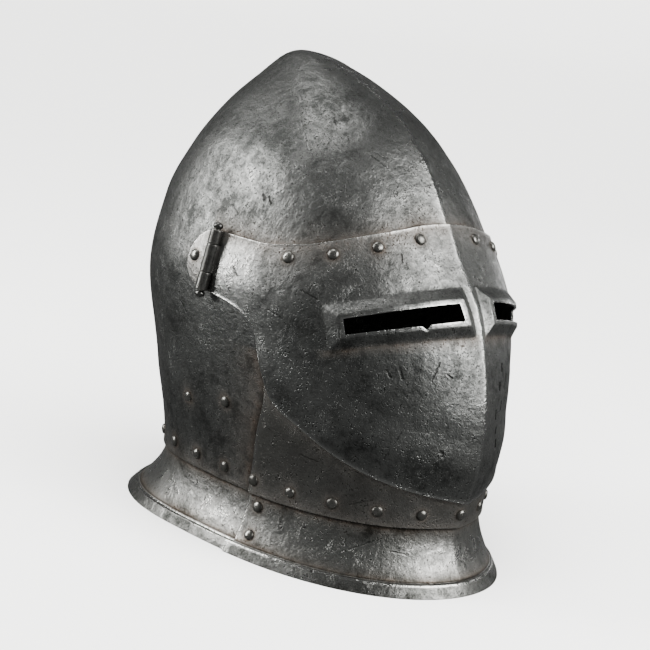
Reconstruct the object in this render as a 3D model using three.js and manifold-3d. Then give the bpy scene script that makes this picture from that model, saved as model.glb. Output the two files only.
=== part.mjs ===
// Great bascinet: a pointed skull over a flared collar, with a bevor and a hinged visor.
// Millimetres, +Z up, the face looks along -Y, and the rim's underside lies on Z = 0.
// A turn is measured round the helmet in degrees: 0 is the ridge in front, 180 the back,
// positive on the wearer's right (-X), where the hinge is, and negative on the left.
import * as THREE from 'three';
import { mergeVertices } from 'three/addons/utils/BufferGeometryUtils.js';
import Module from 'manifold-3d';

const wasm = await Module();
wasm.setup();

// Overall form
const COLLAR_HEIGHT = 45.8; // rim's underside up to the neck line
const SKULL_HEIGHT = 315.8; // neck line up to the peak
const TEMPLE_HALF_WIDTH = 119.9; // half the width over the temples
const FACE_REACH = 151; // helmet's middle forward to the chin
const BACK_REACH = 161.6; // helmet's middle back to the fullest part of the skull
const RIM_SIDE_FLARE = 13.4; // how far the rim stands out past the neck, at the sides
const RIM_FRONT_FLARE = 22.5; // the same in front
const RIM_BACK_FLARE = 32.8; // the same at the back
const KEEL_HEIGHT = 3; // crease down the middle of the skull, visor and bevor
const KEEL_SPREAD = 12; // how soon the crease fades sideways
const SECTION_FULLNESS = 2.65; // squareness of every cross-section

// Plates and the spaces between them
const WALL = 1.8; // steel plate
const LAP_GAP = 0.7; // between two riveted plates, clear of their facets
const VISOR_GAP = 0.8; // between the visor and what it closes over
const FIT = 0.3; // round shanks, pins and knuckles
const PLATE_LAP = 17; // how far one plate runs on under its neighbour

// Collar
const RIM_BAND = 8.5; // height of the turned band round the rim
const RIM_BAND_PROUD = 1.3; // how far the band stands off the plate
const NECK_FLANGE = 20.5; // collar's upper edge above the neck line, inside the skull
const SEAM_TURN = 73; // side seam of the collar and the bevor's rear edge at the neck

// Skull opening behind the visor
const OPENING_TURN = 63;
const SKULL_NOTCH = 2.5; // height of the skull's cut-back corner over the collar's front

// Sights: one slot each side of the ridge in a raised, bevelled frame
const SIGHT_INNER_TURN = 7.8;
const SIGHT_OUTER_TURN = 43.5;
const SIGHT_AT = 0.4987; // inner end's middle above the neck line, as a share of SKULL_HEIGHT
const SIGHT_DROP = 0.0522; // how much lower the outer end is, as a share of SKULL_HEIGHT
const SIGHT_GAP = 10.6; // height of a slot
const FRAME_LIP = 2.6; // flat edge round a slot
const FRAME_BEVEL = 8; // slope from the lip down to the visor
const FRAME_PROUD = 4.6; // height of the lip above the visor

// Breaths: a staggered group of short slots on the wearer's left
const BREATH_WIDTH = 2.6;
const BREATH_HEIGHT = 5;

// Hinge on the wearer's right
const HINGE_BACK = 23; // helmet's middle back to the pin
const HINGE_AT = 0.511; // middle of the hinge above the neck line, as a share of SKULL_HEIGHT
const HINGE_LENGTH = 45;
const KNUCKLE_RADIUS = 4.7;
const PIN_RADIUS = 2.3;
const PIN_BALL_RADIUS = 3.75;
const PIN_BALL_HEIGHT = 4;
const LEAF_RADIUS = 21.5; // half-round leaf behind the pin

// Latch stud on the wearer's left
const LATCH_TURN = -81;
const LATCH_HEAD_RADIUS = 4.6;
const LATCH_SHANK_RADIUS = 2.1;
const LATCH_HEAD_HEIGHT = 1.8;

// Rivets
const RIVET_HEAD_RADIUS = 4.2;
const RIVET_HEAD_HEIGHT = 2.5;
const RIVET_SHANK_RADIUS = 1.9;
const RIVET_TAIL_RADIUS = 2.9;
const RIVET_TAIL_HEIGHT = 1;
const RIVET_SIDES = 6;
const CUT_REACH = 12; // how far a drilled or cut hole reaches each side of the body
const NECK_RIVET_COUNT = 24;
const NECK_RIVET_INSET = 10.7; // rivet row above the neck line
const VISOR_RIVET_INSET = 8.2; // rivet row below the visor's top edge

const NECK = COLLAR_HEIGHT;
const PEAK = COLLAR_HEIGHT + SKULL_HEIGHT;
const NECK_RIVET_LEVEL = NECK + NECK_RIVET_INSET;

// Cross-sections from the neck up. Heights are shares of SKULL_HEIGHT above the neck line, widths of
// TEMPLE_HALF_WIDTH, fronts of FACE_REACH and backs of BACK_REACH, each from the helmet's middle.
// The nose column is the roundness of the front half: 2 is round, less is more pointed.
const SECTIONS = [
  { name: 'neck', at: 0, width: 0.841, front: 0.94, back: 0.815, nose: 1.88 },
  { name: 'chin', at: 0.216, width: 0.94, front: 1, back: 0.892, nose: 1.52 },
  { name: 'eyes', at: 0.457, width: 1, front: 0.88, back: 1, nose: 1.77 },
  { name: 'brow', at: 0.622, width: 0.905, front: 0.642, back: 0.975, nose: 2.22 },
  { name: 'forehead', at: 0.757, width: 0.775, front: 0.447, back: 0.864, nose: 1.97 },
  { name: 'crown', at: 0.863, width: 0.553, front: 0.238, back: 0.767, nose: 1.87 },
  { name: 'upper crown', at: 0.944, width: 0.334, front: -0.086, back: 0.639, nose: 1.95 },
  { name: 'tip', at: 0.998, width: 0.11, front: -0.437, back: 0.572, nose: 2 },
];
const PEAK_BACK = 0.51; // share of BACK_REACH

// Visor's edges. Turns in degrees, heights as shares of SKULL_HEIGHT above the neck line.
const VISOR_TOP = [
  { turn: 0, height: 0.671 },
  { turn: 10, height: 0.665 },
  { turn: 18, height: 0.654 },
  { turn: 29, height: 0.637 },
  { turn: 39, height: 0.619 },
  { turn: 54, height: 0.592 },
  { turn: 68, height: 0.578 },
  { turn: 86, height: 0.583 },
];
const VISOR_BOTTOM = [
  { turn: 0, height: 0.066 },
  { turn: 19, height: 0.086 },
  { turn: 34, height: 0.111 },
  { turn: 47.4, height: 0.15 },
  { turn: 58.3, height: 0.2 },
  { turn: 66.5, height: 0.25 },
  { turn: 68.2, height: 0.303 },
  { turn: 69.3, height: 0.37 },
  { turn: 70.5, height: 0.399 },
  { turn: 75.8, height: 0.43 },
  { turn: 86, height: 0.442 },
];
// Bevor's rear edge, which leans forward as it rises
const BEVOR_REAR = [
  { height: 0, turn: SEAM_TURN },
  { height: 0.14, turn: SEAM_TURN - 1.6 },
  { height: 0.24, turn: SEAM_TURN - 4.2 },
  { height: 0.34, turn: SEAM_TURN - 5.4 },
];
// Breaths, as shares of SKULL_HEIGHT above the neck line
const BREATHS = [
  { turn: -16, height: 0.368 },
  { turn: -21, height: 0.34 },
  { turn: -14, height: 0.329 },
  { turn: -22, height: 0.297 },
  { turn: -17, height: 0.283 },
  { turn: -12, height: 0.269 },
  { turn: -20, height: 0.245 },
  { turn: -14, height: 0.231 },
  { turn: -16, height: 0.198 },
];
// Rivets on the visor's top edge, on the side of the skull and on the collar's seam
const VISOR_RIVET_TURNS = [12, 27.7, 42.9, 57.5];
const SIDE_RIVETS = [
  { turn: 100, height: 0.17 },
  { turn: 82.5, height: 0.196 },
];
const SEAM_RIVET_LEVELS = [0.81, 0.36]; // shares of COLLAR_HEIGHT
const SEAM_RIVET_INSET = 3.6; // degrees in front of the seam

// Steel finishes
const STEEL = { color: 0x4c4c4a, roughness: 0.42, metalness: 1 };
const STEELS = {
  skull: STEEL,
  visor: { ...STEEL, color: 0x565654 },
  bevor: { ...STEEL, color: 0x484846 },
  collar: { ...STEEL, color: 0x52514e },
  fittings: { ...STEEL, color: 0x3a3835, roughness: 0.5 },
};

// Smooth curve through a table's points without overshoot
function curveThrough(xs, ys) {
  const last = xs.length - 1;
  const step = (k) => xs[k + 1] - xs[k];
  const rise = (k) => (ys[k + 1] - ys[k]) / step(k);
  const endSlope = (h0, h1, d0, d1) => {
    const slope = ((2 * h0 + h1) * d0 - h0 * d1) / (h0 + h1);
    if (slope * d0 <= 0) return 0;
    return d0 * d1 < 0 && Math.abs(slope) > 3 * Math.abs(d0) ? 3 * d0 : slope;
  };
  const slopes = xs.map((_, k) => {
    if (k === 0) return endSlope(step(0), step(1), rise(0), rise(1));
    if (k === last) return endSlope(step(last - 1), step(last - 2), rise(last - 1), rise(last - 2));
    const [before, after] = [rise(k - 1), rise(k)];
    if (before * after <= 0) return 0;
    const [w1, w2] = [2 * step(k) + step(k - 1), step(k) + 2 * step(k - 1)];
    return (w1 + w2) / (w1 / before + w2 / after);
  });
  return (x) => {
    let k = 0;
    while (k < last - 1 && x > xs[k + 1]) k += 1;
    const h = step(k);
    const s = Math.min(Math.max((x - xs[k]) / h, 0), 1);
    const [a, b] = [ys[k], ys[k + 1]];
    return (
      a * (1 + 2 * s) * (1 - s) ** 2 +
      slopes[k] * h * s * (1 - s) ** 2 +
      b * s * s * (3 - 2 * s) +
      slopes[k + 1] * h * s * s * (s - 1)
    );
  };
}

// The helmet's form
const neckRow = SECTIONS[0];
const levels = [0, ...SECTIONS.map((row) => NECK + row.at * SKULL_HEIGHT)];
const widthAt = curveThrough(levels, [
  neckRow.width * TEMPLE_HALF_WIDTH + RIM_SIDE_FLARE,
  ...SECTIONS.map((row) => row.width * TEMPLE_HALF_WIDTH),
]);
const frontAt = curveThrough(levels, [
  -(neckRow.front * FACE_REACH + RIM_FRONT_FLARE),
  ...SECTIONS.map((row) => -row.front * FACE_REACH),
]);
const backAt = curveThrough(levels, [
  neckRow.back * BACK_REACH + RIM_BACK_FLARE,
  ...SECTIONS.map((row) => row.back * BACK_REACH),
]);
const noseAt = curveThrough(levels, [2, ...SECTIONS.map((row) => row.nose)]);
const WIDEST = 0.58; // where a section is widest, from its front to its back
const CREASE_FADE = 60; // height over which the crease runs out below the peak

function middleAt(z) {
  return frontAt(z) + (backAt(z) - frontAt(z)) * WIDEST;
}

function creaseAt(z) {
  const onCollar = Math.min(1, z / NECK);
  const belowPeak = Math.min(1, (PEAK - z) / CREASE_FADE);
  return KEEL_HEIGHT * onCollar * Math.max(0, belowPeak);
}

function onBody(turnWanted, height) {
  const turn = turnWanted > 180 ? turnWanted - 360 : turnWanted < -180 ? turnWanted + 360 : turnWanted;
  const z = Math.min(Math.max(height, 0), levels[levels.length - 1]);
  const along = Math.cos(THREE.MathUtils.degToRad(Math.abs(turn)));
  const share = Math.abs(along);
  const power = along > 0 ? noseAt(z) : 2;
  const x = widthAt(z) * (1 - share ** SECTION_FULLNESS) ** (1 / power);
  const reach = along > 0 ? frontAt(z) : backAt(z);
  const crease = along > 0 ? creaseAt(z) * Math.exp(-x / KEEL_SPREAD) : 0;
  return new THREE.Vector3(-Math.sign(turn) * x, middleAt(z) + (reach - middleAt(z)) * share - crease, height);
}

function upwards(turn, z) {
  return onBody(turn, z + 0.5).sub(onBody(turn, z - 0.5));
}

function outwards(turn, z) {
  return upwards(turn, z).cross(onBody(turn + 0.5, z).sub(onBody(turn - 0.5, z))).normalize();
}

function lifted(turn, z, lift) {
  return onBody(turn, z).addScaledVector(outwards(turn, z), lift);
}

// The turn at which the body reaches a given Y
function turnAt(y, z) {
  const middle = middleAt(z);
  if (y > middle) return 180 - THREE.MathUtils.radToDeg(Math.acos((y - middle) / (backAt(z) - middle)));
  return THREE.MathUtils.radToDeg(Math.acos((middle - y) / (middle - frontAt(z))));
}

// Turns at even steps round the helmet at one height, from the ridge to the back
function evenTurns(z, count) {
  const fine = 720;
  const lengths = [0];
  for (let k = 1; k <= fine; k += 1) {
    const step = onBody((180 * k) / fine, z).distanceTo(onBody((180 * (k - 1)) / fine, z));
    lengths.push(lengths[k - 1] + step);
  }
  return Array.from({ length: count + 1 }, (_, n) => {
    const wanted = (lengths[fine] * n) / count;
    const k = lengths.findIndex((length) => length >= wanted - 1e-6);
    return (180 * k) / fine;
  });
}

// Solids
function solidOf(geometry) {
  const bare = geometry.clone();
  bare.deleteAttribute('normal');
  bare.deleteAttribute('uv');
  const merged = mergeVertices(bare, 1e-4);
  const index = Array.from(merged.index.array);
  const triangles = [];
  for (let k = 0; k < index.length; k += 3) {
    const [a, b, c] = index.slice(k, k + 3);
    if (a !== b && b !== c && a !== c) triangles.push(a, b, c);
  }
  const vertProperties = new Float32Array(merged.attributes.position.array);
  const solid = new wasm.Manifold(
    new wasm.Mesh({ numProp: 3, vertProperties, triVerts: new Uint32Array(triangles) }),
  );
  if (solid.volume() > 0) return solid;
  for (let k = 0; k < triangles.length; k += 3) {
    [triangles[k], triangles[k + 1]] = [triangles[k + 1], triangles[k]];
  }
  return new wasm.Manifold(
    new wasm.Mesh({ numProp: 3, vertProperties, triVerts: new Uint32Array(triangles) }),
  );
}

function geometryOf(solid) {
  const { vertProperties, triVerts } = solid.getMesh();
  const geometry = new THREE.BufferGeometry();
  geometry.setAttribute('position', new THREE.BufferAttribute(new Float32Array(vertProperties), 3));
  geometry.setIndex(new THREE.BufferAttribute(new Uint32Array(triVerts), 1));
  return geometry;
}

// A bent plate with closed edges. place(column, row) says where a grid point lies and how high
// its outer face stands off the body; keep(column, row) leaves a cell out; a closed plate joins
// its last column to its first; a flat foot slides the lowest row down its own slope to Z = 0.
function bentPlate(columns, rows, place, options = {}) {
  const { wall = WALL, closed = false, flatFoot = false, keep = () => true } = options;
  const points = [];
  for (let row = 0; row < rows; row += 1) {
    for (let column = 0; column < columns; column += 1) {
      const { turn, z, lift } = place(column, row);
      for (const height of [lift, lift - wall]) {
        const point = lifted(turn, z, height);
        if (flatFoot && row === 0) {
          const slope = upwards(turn, z + 1);
          point.addScaledVector(slope, -point.z / slope.z);
        }
        points.push(point);
      }
    }
  }
  const cells = closed ? columns : columns - 1;
  const kept = (column, row) =>
    row >= 0 && row < rows - 1 && (closed || (column >= 0 && column < cells)) &&
    keep((column + columns) % columns, row);
  const outer = (column, row) => 2 * (row * columns + (column % columns));
  const triangles = [];
  const wallAlong = (from, to) => triangles.push(to, from, from + 1, to, from + 1, to + 1);
  for (let row = 0; row < rows - 1; row += 1) {
    for (let column = 0; column < cells; column += 1) {
      if (!kept(column, row)) continue;
      const corners = [
        outer(column, row), outer(column, row + 1), outer(column + 1, row + 1), outer(column + 1, row),
      ];
      const [a, b, c, d] = corners;
      triangles.push(a, b, c, a, c, d);
      triangles.push(a + 1, c + 1, b + 1, a + 1, d + 1, c + 1);
      if (!kept(column - 1, row)) wallAlong(a, b);
      if (!kept(column, row + 1)) wallAlong(b, c);
      if (!kept(column + 1, row)) wallAlong(c, d);
      if (!kept(column, row - 1)) wallAlong(d, a);
    }
  }
  const geometry = new THREE.BufferGeometry();
  geometry.setAttribute('position', new THREE.Float32BufferAttribute(points.flatMap((p) => p.toArray()), 3));
  geometry.setIndex(triangles);
  return solidOf(geometry);
}

// A cutter that follows the body, from a turn to another and between two heights
function bentCutter(fromTurn, toTurn, lowAt, highAt, reach = 6) {
  const columns = Math.max(2, Math.ceil((toTurn - fromTurn) / 10));
  const rows = Math.max(2, Math.ceil((highAt(fromTurn) - lowAt(fromTurn)) / 30));
  const place = (column, row) => {
    const turn = fromTurn + ((toTurn - fromTurn) * column) / (columns - 1);
    const z = lowAt(turn) + ((highAt(turn) - lowAt(turn)) * row) / (rows - 1);
    return { turn, z, lift: reach };
  };
  return bentPlate(columns, rows, place, { wall: 2 * reach });
}

const inOrder = (a, b) => [Math.min(a, b), Math.max(a, b)];

// A turned solid whose axis points along a direction
function turnedAlong(profile, sides, origin, direction) {
  const geometry = new THREE.LatheGeometry(profile.map(([r, y]) => new THREE.Vector2(r, y)), sides);
  const spin = new THREE.Quaternion().setFromUnitVectors(new THREE.Vector3(0, 1, 0), direction);
  geometry.applyQuaternion(spin);
  geometry.translate(origin.x, origin.y, origin.z);
  return solidOf(geometry);
}

function rod(radius, low, high, sides, origin, direction) {
  return turnedAlong([[0, low], [radius, low], [radius, high], [0, high]], sides, origin, direction);
}

const group = new THREE.Group();

function addPiece(name, solid, finish) {
  const mesh = new THREE.Mesh(geometryOf(solid), new THREE.MeshStandardMaterial(finish));
  mesh.name = name;
  group.add(mesh);
}

// Heights of the outer faces off the body
const SKULL_LIFT = 0;
const BEVOR_LIFT = SKULL_LIFT + LAP_GAP + WALL;
const COLLAR_FRONT_LIFT = BEVOR_LIFT - WALL - LAP_GAP;
const COLLAR_BACK_LIFT = COLLAR_FRONT_LIFT - WALL - LAP_GAP;
const VISOR_LOW_LIFT = BEVOR_LIFT + VISOR_GAP + WALL;
const VISOR_HIGH_LIFT = SKULL_LIFT + VISOR_GAP + WALL;
const LEAF_LIFT = VISOR_HIGH_LIFT;

// Columns shared by the riveted plates: the ridge, and two between each neck rivet and the next
const thirds = evenTurns(NECK_RIVET_LEVEL, (3 * NECK_RIVET_COUNT) / 2);
const rivetTurn = (n) => Math.sign(n) * thirds[3 * Math.abs(n)];
const plateTurns = thirds.filter((_, k) => k % 3 !== 0);

const tableCurve = (rows, from, to) => curveThrough(rows.map((r) => r[from]), rows.map((r) => r[to]));
const heightOf = (share) => NECK + share * SKULL_HEIGHT;
const visorTopShare = tableCurve(VISOR_TOP, 'turn', 'height');
const visorBottomShare = tableCurve(VISOR_BOTTOM, 'turn', 'height');
const bevorRearTurn = tableCurve(BEVOR_REAR, 'height', 'turn');
const visorTopAt = (turn) => heightOf(visorTopShare(Math.abs(turn)));
const visorBottomAt = (turn) => heightOf(visorBottomShare(Math.abs(turn)));
const BEVOR_TOP_TURN = 66; // past this turn the bevor's top edge runs level
const bevorTopAt = (turn) => visorBottomAt(Math.min(Math.abs(turn), BEVOR_TOP_TURN)) + PLATE_LAP;
const openingTopAt = (turn) => visorTopAt(turn) - PLATE_LAP;

// Rivets: a domed head on the outermost plate, a shank through the drilled plates and, where
// there is room behind them, a hammered tail. Each is seated on the plates' real facets.
const plates = {};
const plateMeshes = {};
const holes = {};
const rivets = [];
const probe = new THREE.Raycaster(undefined, undefined, 0, 40);

function addPlate(name, solid) {
  plates[name] = solid;
  plateMeshes[name] = new THREE.Mesh(geometryOf(solid));
  holes[name] = [];
}

// How far a plate's outer (side 1) or inner (side -1) face stands off the body along a line,
// at its highest for a head and at its lowest for a tail
function faceLift(plate, origin, direction, radius, side) {
  const spin = new THREE.Quaternion().setFromUnitVectors(new THREE.Vector3(0, 1, 0), direction);
  const lifts = [new THREE.Vector3()];
  for (let k = 0; k < RIVET_SIDES; k += 1) {
    const angle = (2 * Math.PI * k) / RIVET_SIDES;
    lifts.push(new THREE.Vector3(Math.sin(angle), 0, Math.cos(angle)).multiplyScalar(radius));
  }
  const start = 20;
  return lifts.reduce((best, offset) => {
    const from = offset.applyQuaternion(spin).add(origin).addScaledVector(direction, side * start);
    probe.set(from, direction.clone().multiplyScalar(-side));
    const [hit] = probe.intersectObject(plateMeshes[plate]);
    if (!hit) return best;
    return side * Math.max(side * best, start - hit.distance);
  }, -side * start);
}

// A punched square hole that clears a round shank
function punch(shankRadius, origin, direction) {
  return rod((shankRadius + FIT) * Math.SQRT2, -CUT_REACH, CUT_REACH, 4, origin, direction);
}

function addRivet(name, turn, z, names, hasTail = true) {
  const origin = onBody(turn, z);
  const direction = outwards(turn, z);
  const outermost = names[0];
  const innermost = names[names.length - 1];
  const seat = faceLift(outermost, origin, direction, RIVET_HEAD_RADIUS, 1) + FIT;
  const back = faceLift(innermost, origin, direction, RIVET_TAIL_RADIUS, -1);
  const head = [
    [0, seat + RIVET_HEAD_HEIGHT],
    [RIVET_HEAD_RADIUS * 0.72, seat + RIVET_HEAD_HEIGHT * 0.68],
    [RIVET_HEAD_RADIUS, seat],
    [RIVET_SHANK_RADIUS, seat],
  ];
  const [flush, behind] = [back + FIT, back - FIT];
  const tail = hasTail
    ? [[RIVET_SHANK_RADIUS, behind], [RIVET_TAIL_RADIUS, behind], [0, behind - RIVET_TAIL_HEIGHT]]
    : [[RIVET_SHANK_RADIUS, flush], [0, flush]];
  rivets.push({ name, solid: turnedAlong([...head, ...tail], RIVET_SIDES, origin, direction) });
  const hole = punch(RIVET_SHANK_RADIUS, origin, direction);
  for (const plate of names) holes[plate].push(hole);
}

const sideName = (side) => (side > 0 ? 'right' : 'left');

function addRivets() {
  const half = NECK_RIVET_COUNT / 2;
  for (let n = 1 - half; n <= half; n += 1) {
    const turn = rivetTurn(n);
    const name = `neck_rivet_${String(n + half).padStart(2, '0')}`;
    const away = Math.abs(turn);
    const rear = away < SEAM_TURN ? ['bevor', 'skull', 'collar_back'] : ['skull', 'collar_back'];
    addRivet(name, turn, NECK_RIVET_LEVEL, away < OPENING_TURN ? ['bevor', 'collar_front'] : rear);
  }
  for (const side of [1, -1]) {
    VISOR_RIVET_TURNS.forEach((turn, n) => {
      const z = visorTopAt(turn) - VISOR_RIVET_INSET;
      addRivet(`visor_rivet_${sideName(side)}_${n + 1}`, side * turn, z, ['visor'], false);
    });
    SIDE_RIVETS.forEach(({ turn, height }, n) => {
      addRivet(`side_rivet_${sideName(side)}_${n + 1}`, side * turn, heightOf(height), ['skull']);
    });
    SEAM_RIVET_LEVELS.forEach((share, n) => {
      const turn = side * (SEAM_TURN - SEAM_RIVET_INSET);
      const name = `seam_rivet_${sideName(side)}_${n + 1}`;
      addRivet(name, turn, share * COLLAR_HEIGHT, ['collar_front', 'collar_back']);
    });
  }
  const leafRivetTurn = turnAt(HINGE_BACK + KNUCKLE_RADIUS + LEAF_RADIUS * 0.66, hingeMiddle);
  addRivet('leaf_rivet', leafRivetTurn, hingeMiddle, ['hinge_leaf', 'skull']);
}

// Hinge line: parallel to the skull beside it, the knuckles just clear of the steel
const hingeMiddle = heightOf(HINGE_AT);
const hingeEnd = (side) => {
  const z = hingeMiddle + (side * HINGE_LENGTH) / 2;
  return onBody(turnAt(HINGE_BACK, z), z);
};
const hingeAxis = hingeEnd(1).sub(hingeEnd(-1)).normalize();
const hingeTurn = turnAt(HINGE_BACK, hingeMiddle);
const hingeOrigin = lifted(hingeTurn, hingeMiddle, KNUCKLE_RADIUS + VISOR_GAP);
const hingeOut = outwards(hingeTurn, hingeMiddle);
const hingeAcross = hingeOut.clone().cross(hingeAxis).normalize(); // towards the back
const KNUCKLE_SIDES = 10;
const MIDDLE_KNUCKLE = { low: -0.2 * HINGE_LENGTH, high: 0.26 * HINGE_LENGTH };
const LOW_KNUCKLE = { low: -HINGE_LENGTH / 2, high: MIDDLE_KNUCKLE.low - FIT };
const HIGH_KNUCKLE = { low: MIDDLE_KNUCKLE.high + FIT, high: HINGE_LENGTH / 2 };

const alongHinge = (radius, low, high) => rod(radius, low, high, KNUCKLE_SIDES, hingeOrigin, hingeAxis);

// How far the pin's line stands off the body at a place along it
function standOff(along) {
  const point = hingeOrigin.clone().addScaledVector(hingeAxis, along);
  const foot = onBody(turnAt(point.y, point.z), point.z);
  return point.sub(foot).dot(hingeOut);
}

// A knuckle with the root of the sheet it is rolled from, on one side of the pin
function knuckle({ low, high }, side) {
  const depth = Math.min(standOff(low), standOff(high)) - VISOR_GAP;
  const root = new THREE.BoxGeometry(KNUCKLE_RADIUS, high - low, depth);
  root.translate((side * KNUCKLE_RADIUS) / 2, (low + high) / 2, -depth / 2);
  root.applyMatrix4(new THREE.Matrix4().makeBasis(hingeAcross, hingeAxis, hingeOut));
  root.translate(hingeOrigin.x, hingeOrigin.y, hingeOrigin.z);
  return alongHinge(KNUCKLE_RADIUS, low, high).add(solidOf(root));
}

const pinBore = alongHinge(PIN_RADIUS + FIT, -HINGE_LENGTH, HINGE_LENGTH);
const clearOf = ({ low, high }) => alongHinge(KNUCKLE_RADIUS + FIT, low - FIT, high + FIT);

const WAIST_ROW = 0.055; // first row over the neck line, where the plates curve outwards

// Skull: one raised plate, open in front behind the visor and the bevor
function makeSkull() {
  const rowShares = [0, WAIST_ROW, 0.12, 0.22, 0.33, 0.44, 0.55, 0.66, 0.765, 0.86, 0.93, 0.975, 0.994];
  const rowLevels = rowShares.map(heightOf);
  const turns = [...plateTurns.map((turn) => -turn).reverse(), 0, ...plateTurns];
  const columns = turns.length;
  const peak = new THREE.Vector3(0, PEAK_BACK * BACK_REACH, PEAK);
  const place = (column, row) => ({ turn: turns[column], z: rowLevels[row], lift: SKULL_LIFT });
  const points = [];
  const lastRing = rowLevels.length;
  for (let row = 0; row < lastRing; row += 1) {
    for (let column = 0; column < columns; column += 1) {
      const { turn, z, lift } = place(column, row);
      points.push(lifted(turn, z, lift), lifted(turn, z, lift - WALL));
    }
  }
  points.push(peak, peak.clone().setZ(PEAK - WALL));
  const top = points.length - 2;
  const outer = (column, row) => 2 * (row * columns + (column % columns));
  const triangles = [];
  for (let column = 0; column < columns; column += 1) {
    for (let row = 0; row < lastRing - 1; row += 1) {
      const [a, b] = [outer(column, row), outer(column, row + 1)];
      const [d, c] = [outer(column + 1, row), outer(column + 1, row + 1)];
      triangles.push(a, b, c, a, c, d);
      triangles.push(a + 1, c + 1, b + 1, a + 1, d + 1, c + 1);
    }
    const [a, d] = [outer(column, lastRing - 1), outer(column + 1, lastRing - 1)];
    triangles.push(a, top, d, a + 1, d + 1, top + 1);
    const [p, q] = [outer(column, 0), outer(column + 1, 0)];
    triangles.push(p, q, q + 1, p, q + 1, p + 1);
  }
  const geometry = new THREE.BufferGeometry();
  geometry.setAttribute('position', new THREE.Float32BufferAttribute(points.flatMap((v) => v.toArray()), 3));
  geometry.setIndex(triangles);
  let skull = solidOf(geometry);
  const face = bentCutter(-OPENING_TURN, OPENING_TURN, () => NECK - 4, openingTopAt);
  skull = skull.subtract(face);
  for (const side of [1, -1]) {
    const notch = inOrder(side * (OPENING_TURN - 2), side * (SEAM_TURN - 1.5));
    skull = skull.subtract(bentCutter(...notch, () => NECK - 4, () => NECK + SKULL_NOTCH, 4));
  }
  return skull;
}

// Bevor: over the skull's edges and the collar's front, and up behind the visor
function makeBevor() {
  const shared = [0, ...plateTurns.filter((turn) => turn < OPENING_TURN - 4)];
  const inner = shared.length - 1;
  const waist = heightOf(WAIST_ROW);
  const leaning = 3; // columns that lean with the rear edge
  const half = inner + leaning;
  const shares = [0, 0.33, 0.66, 1]; // rows above the waist
  const place = (column, row) => {
    const out = Math.abs(column - half);
    const turn = shared[Math.min(out, inner)];
    const lean = Math.max(0, out - inner) / leaning;
    const top = bevorTopAt(turn + (BEVOR_TOP_TURN - turn) * lean);
    const z = row === 0 ? NECK : waist + (top - waist) * shares[row - 1];
    const rear = bevorRearTurn((z - NECK) / SKULL_HEIGHT);
    return { turn: Math.sign(column - half) * (turn + (rear - turn) * lean), z, lift: BEVOR_LIFT };
  };
  return bentPlate(2 * half + 1, shares.length + 1, place);
}

// Collar: two flared plates with a turned band round the rim, the front over the back
const BAND_SHOULDER = 0.9;
const collarRows = (lift) => [
  { z: 0, lift: lift + RIM_BAND_PROUD },
  { z: RIM_BAND, lift: lift + RIM_BAND_PROUD },
  { z: RIM_BAND + BAND_SHOULDER, lift },
  { z: COLLAR_HEIGHT * 0.6, lift },
  { z: NECK, lift },
  { z: NECK + NECK_FLANGE, lift },
];

function flaredPlate(turns, lift) {
  const rows = collarRows(lift);
  const place = (column, row) => ({ turn: turns[column], ...rows[row] });
  return bentPlate(turns.length, rows.length, place, { flatFoot: true });
}

function makeCollarFront() {
  const side = plateTurns.filter((turn) => turn < SEAM_TURN - 1);
  side.push(SEAM_TURN);
  const turns = [...side.map((turn) => -turn).reverse(), 0, ...side];
  let plate = flaredPlate(turns, COLLAR_FRONT_LIFT);
  const top = () => NECK + NECK_FLANGE + 4;
  for (const side of [1, -1]) {
    const underSkull = inOrder(side * (OPENING_TURN - 2), side * (SEAM_TURN + 2));
    const besideSkull = inOrder(side * (SEAM_TURN - 2.5), side * (SEAM_TURN + 2));
    plate = plate.subtract(bentCutter(...underSkull, () => NECK + SKULL_NOTCH - LAP_GAP, top, 4));
    plate = plate.subtract(bentCutter(...besideSkull, () => NECK - LAP_GAP, top, 4));
  }
  return plate;
}

function makeCollarBack() {
  const start = SEAM_TURN - 9;
  const side = [start, ...plateTurns.filter((turn) => turn > start + 2)];
  const other = side.map((turn) => 360 - turn).reverse();
  return flaredPlate([...side, ...other], COLLAR_BACK_LIFT);
}

// Visor: one pointed plate with two raised sights, breaths and the middle knuckle of the hinge
const BRIDGE_TURN = 2.6; // inner end of a sight frame, beside the ridge
const FRAME_END_TURN = SIGHT_OUTER_TURN + 5.5; // outer end of a sight frame
const sightLevelAt = (turn) => {
  const share = (Math.abs(turn) - SIGHT_INNER_TURN) / (SIGHT_OUTER_TURN - SIGHT_INNER_TURN);
  return heightOf(SIGHT_AT - SIGHT_DROP * share);
};

function visorLiftAt(turn, z) {
  const above = (z - bevorTopAt(turn) - 4) / 26;
  const share = THREE.MathUtils.smoothstep(above, 0, 1);
  return VISOR_LOW_LIFT + (VISOR_HIGH_LIFT - VISOR_LOW_LIFT) * share;
}

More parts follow.
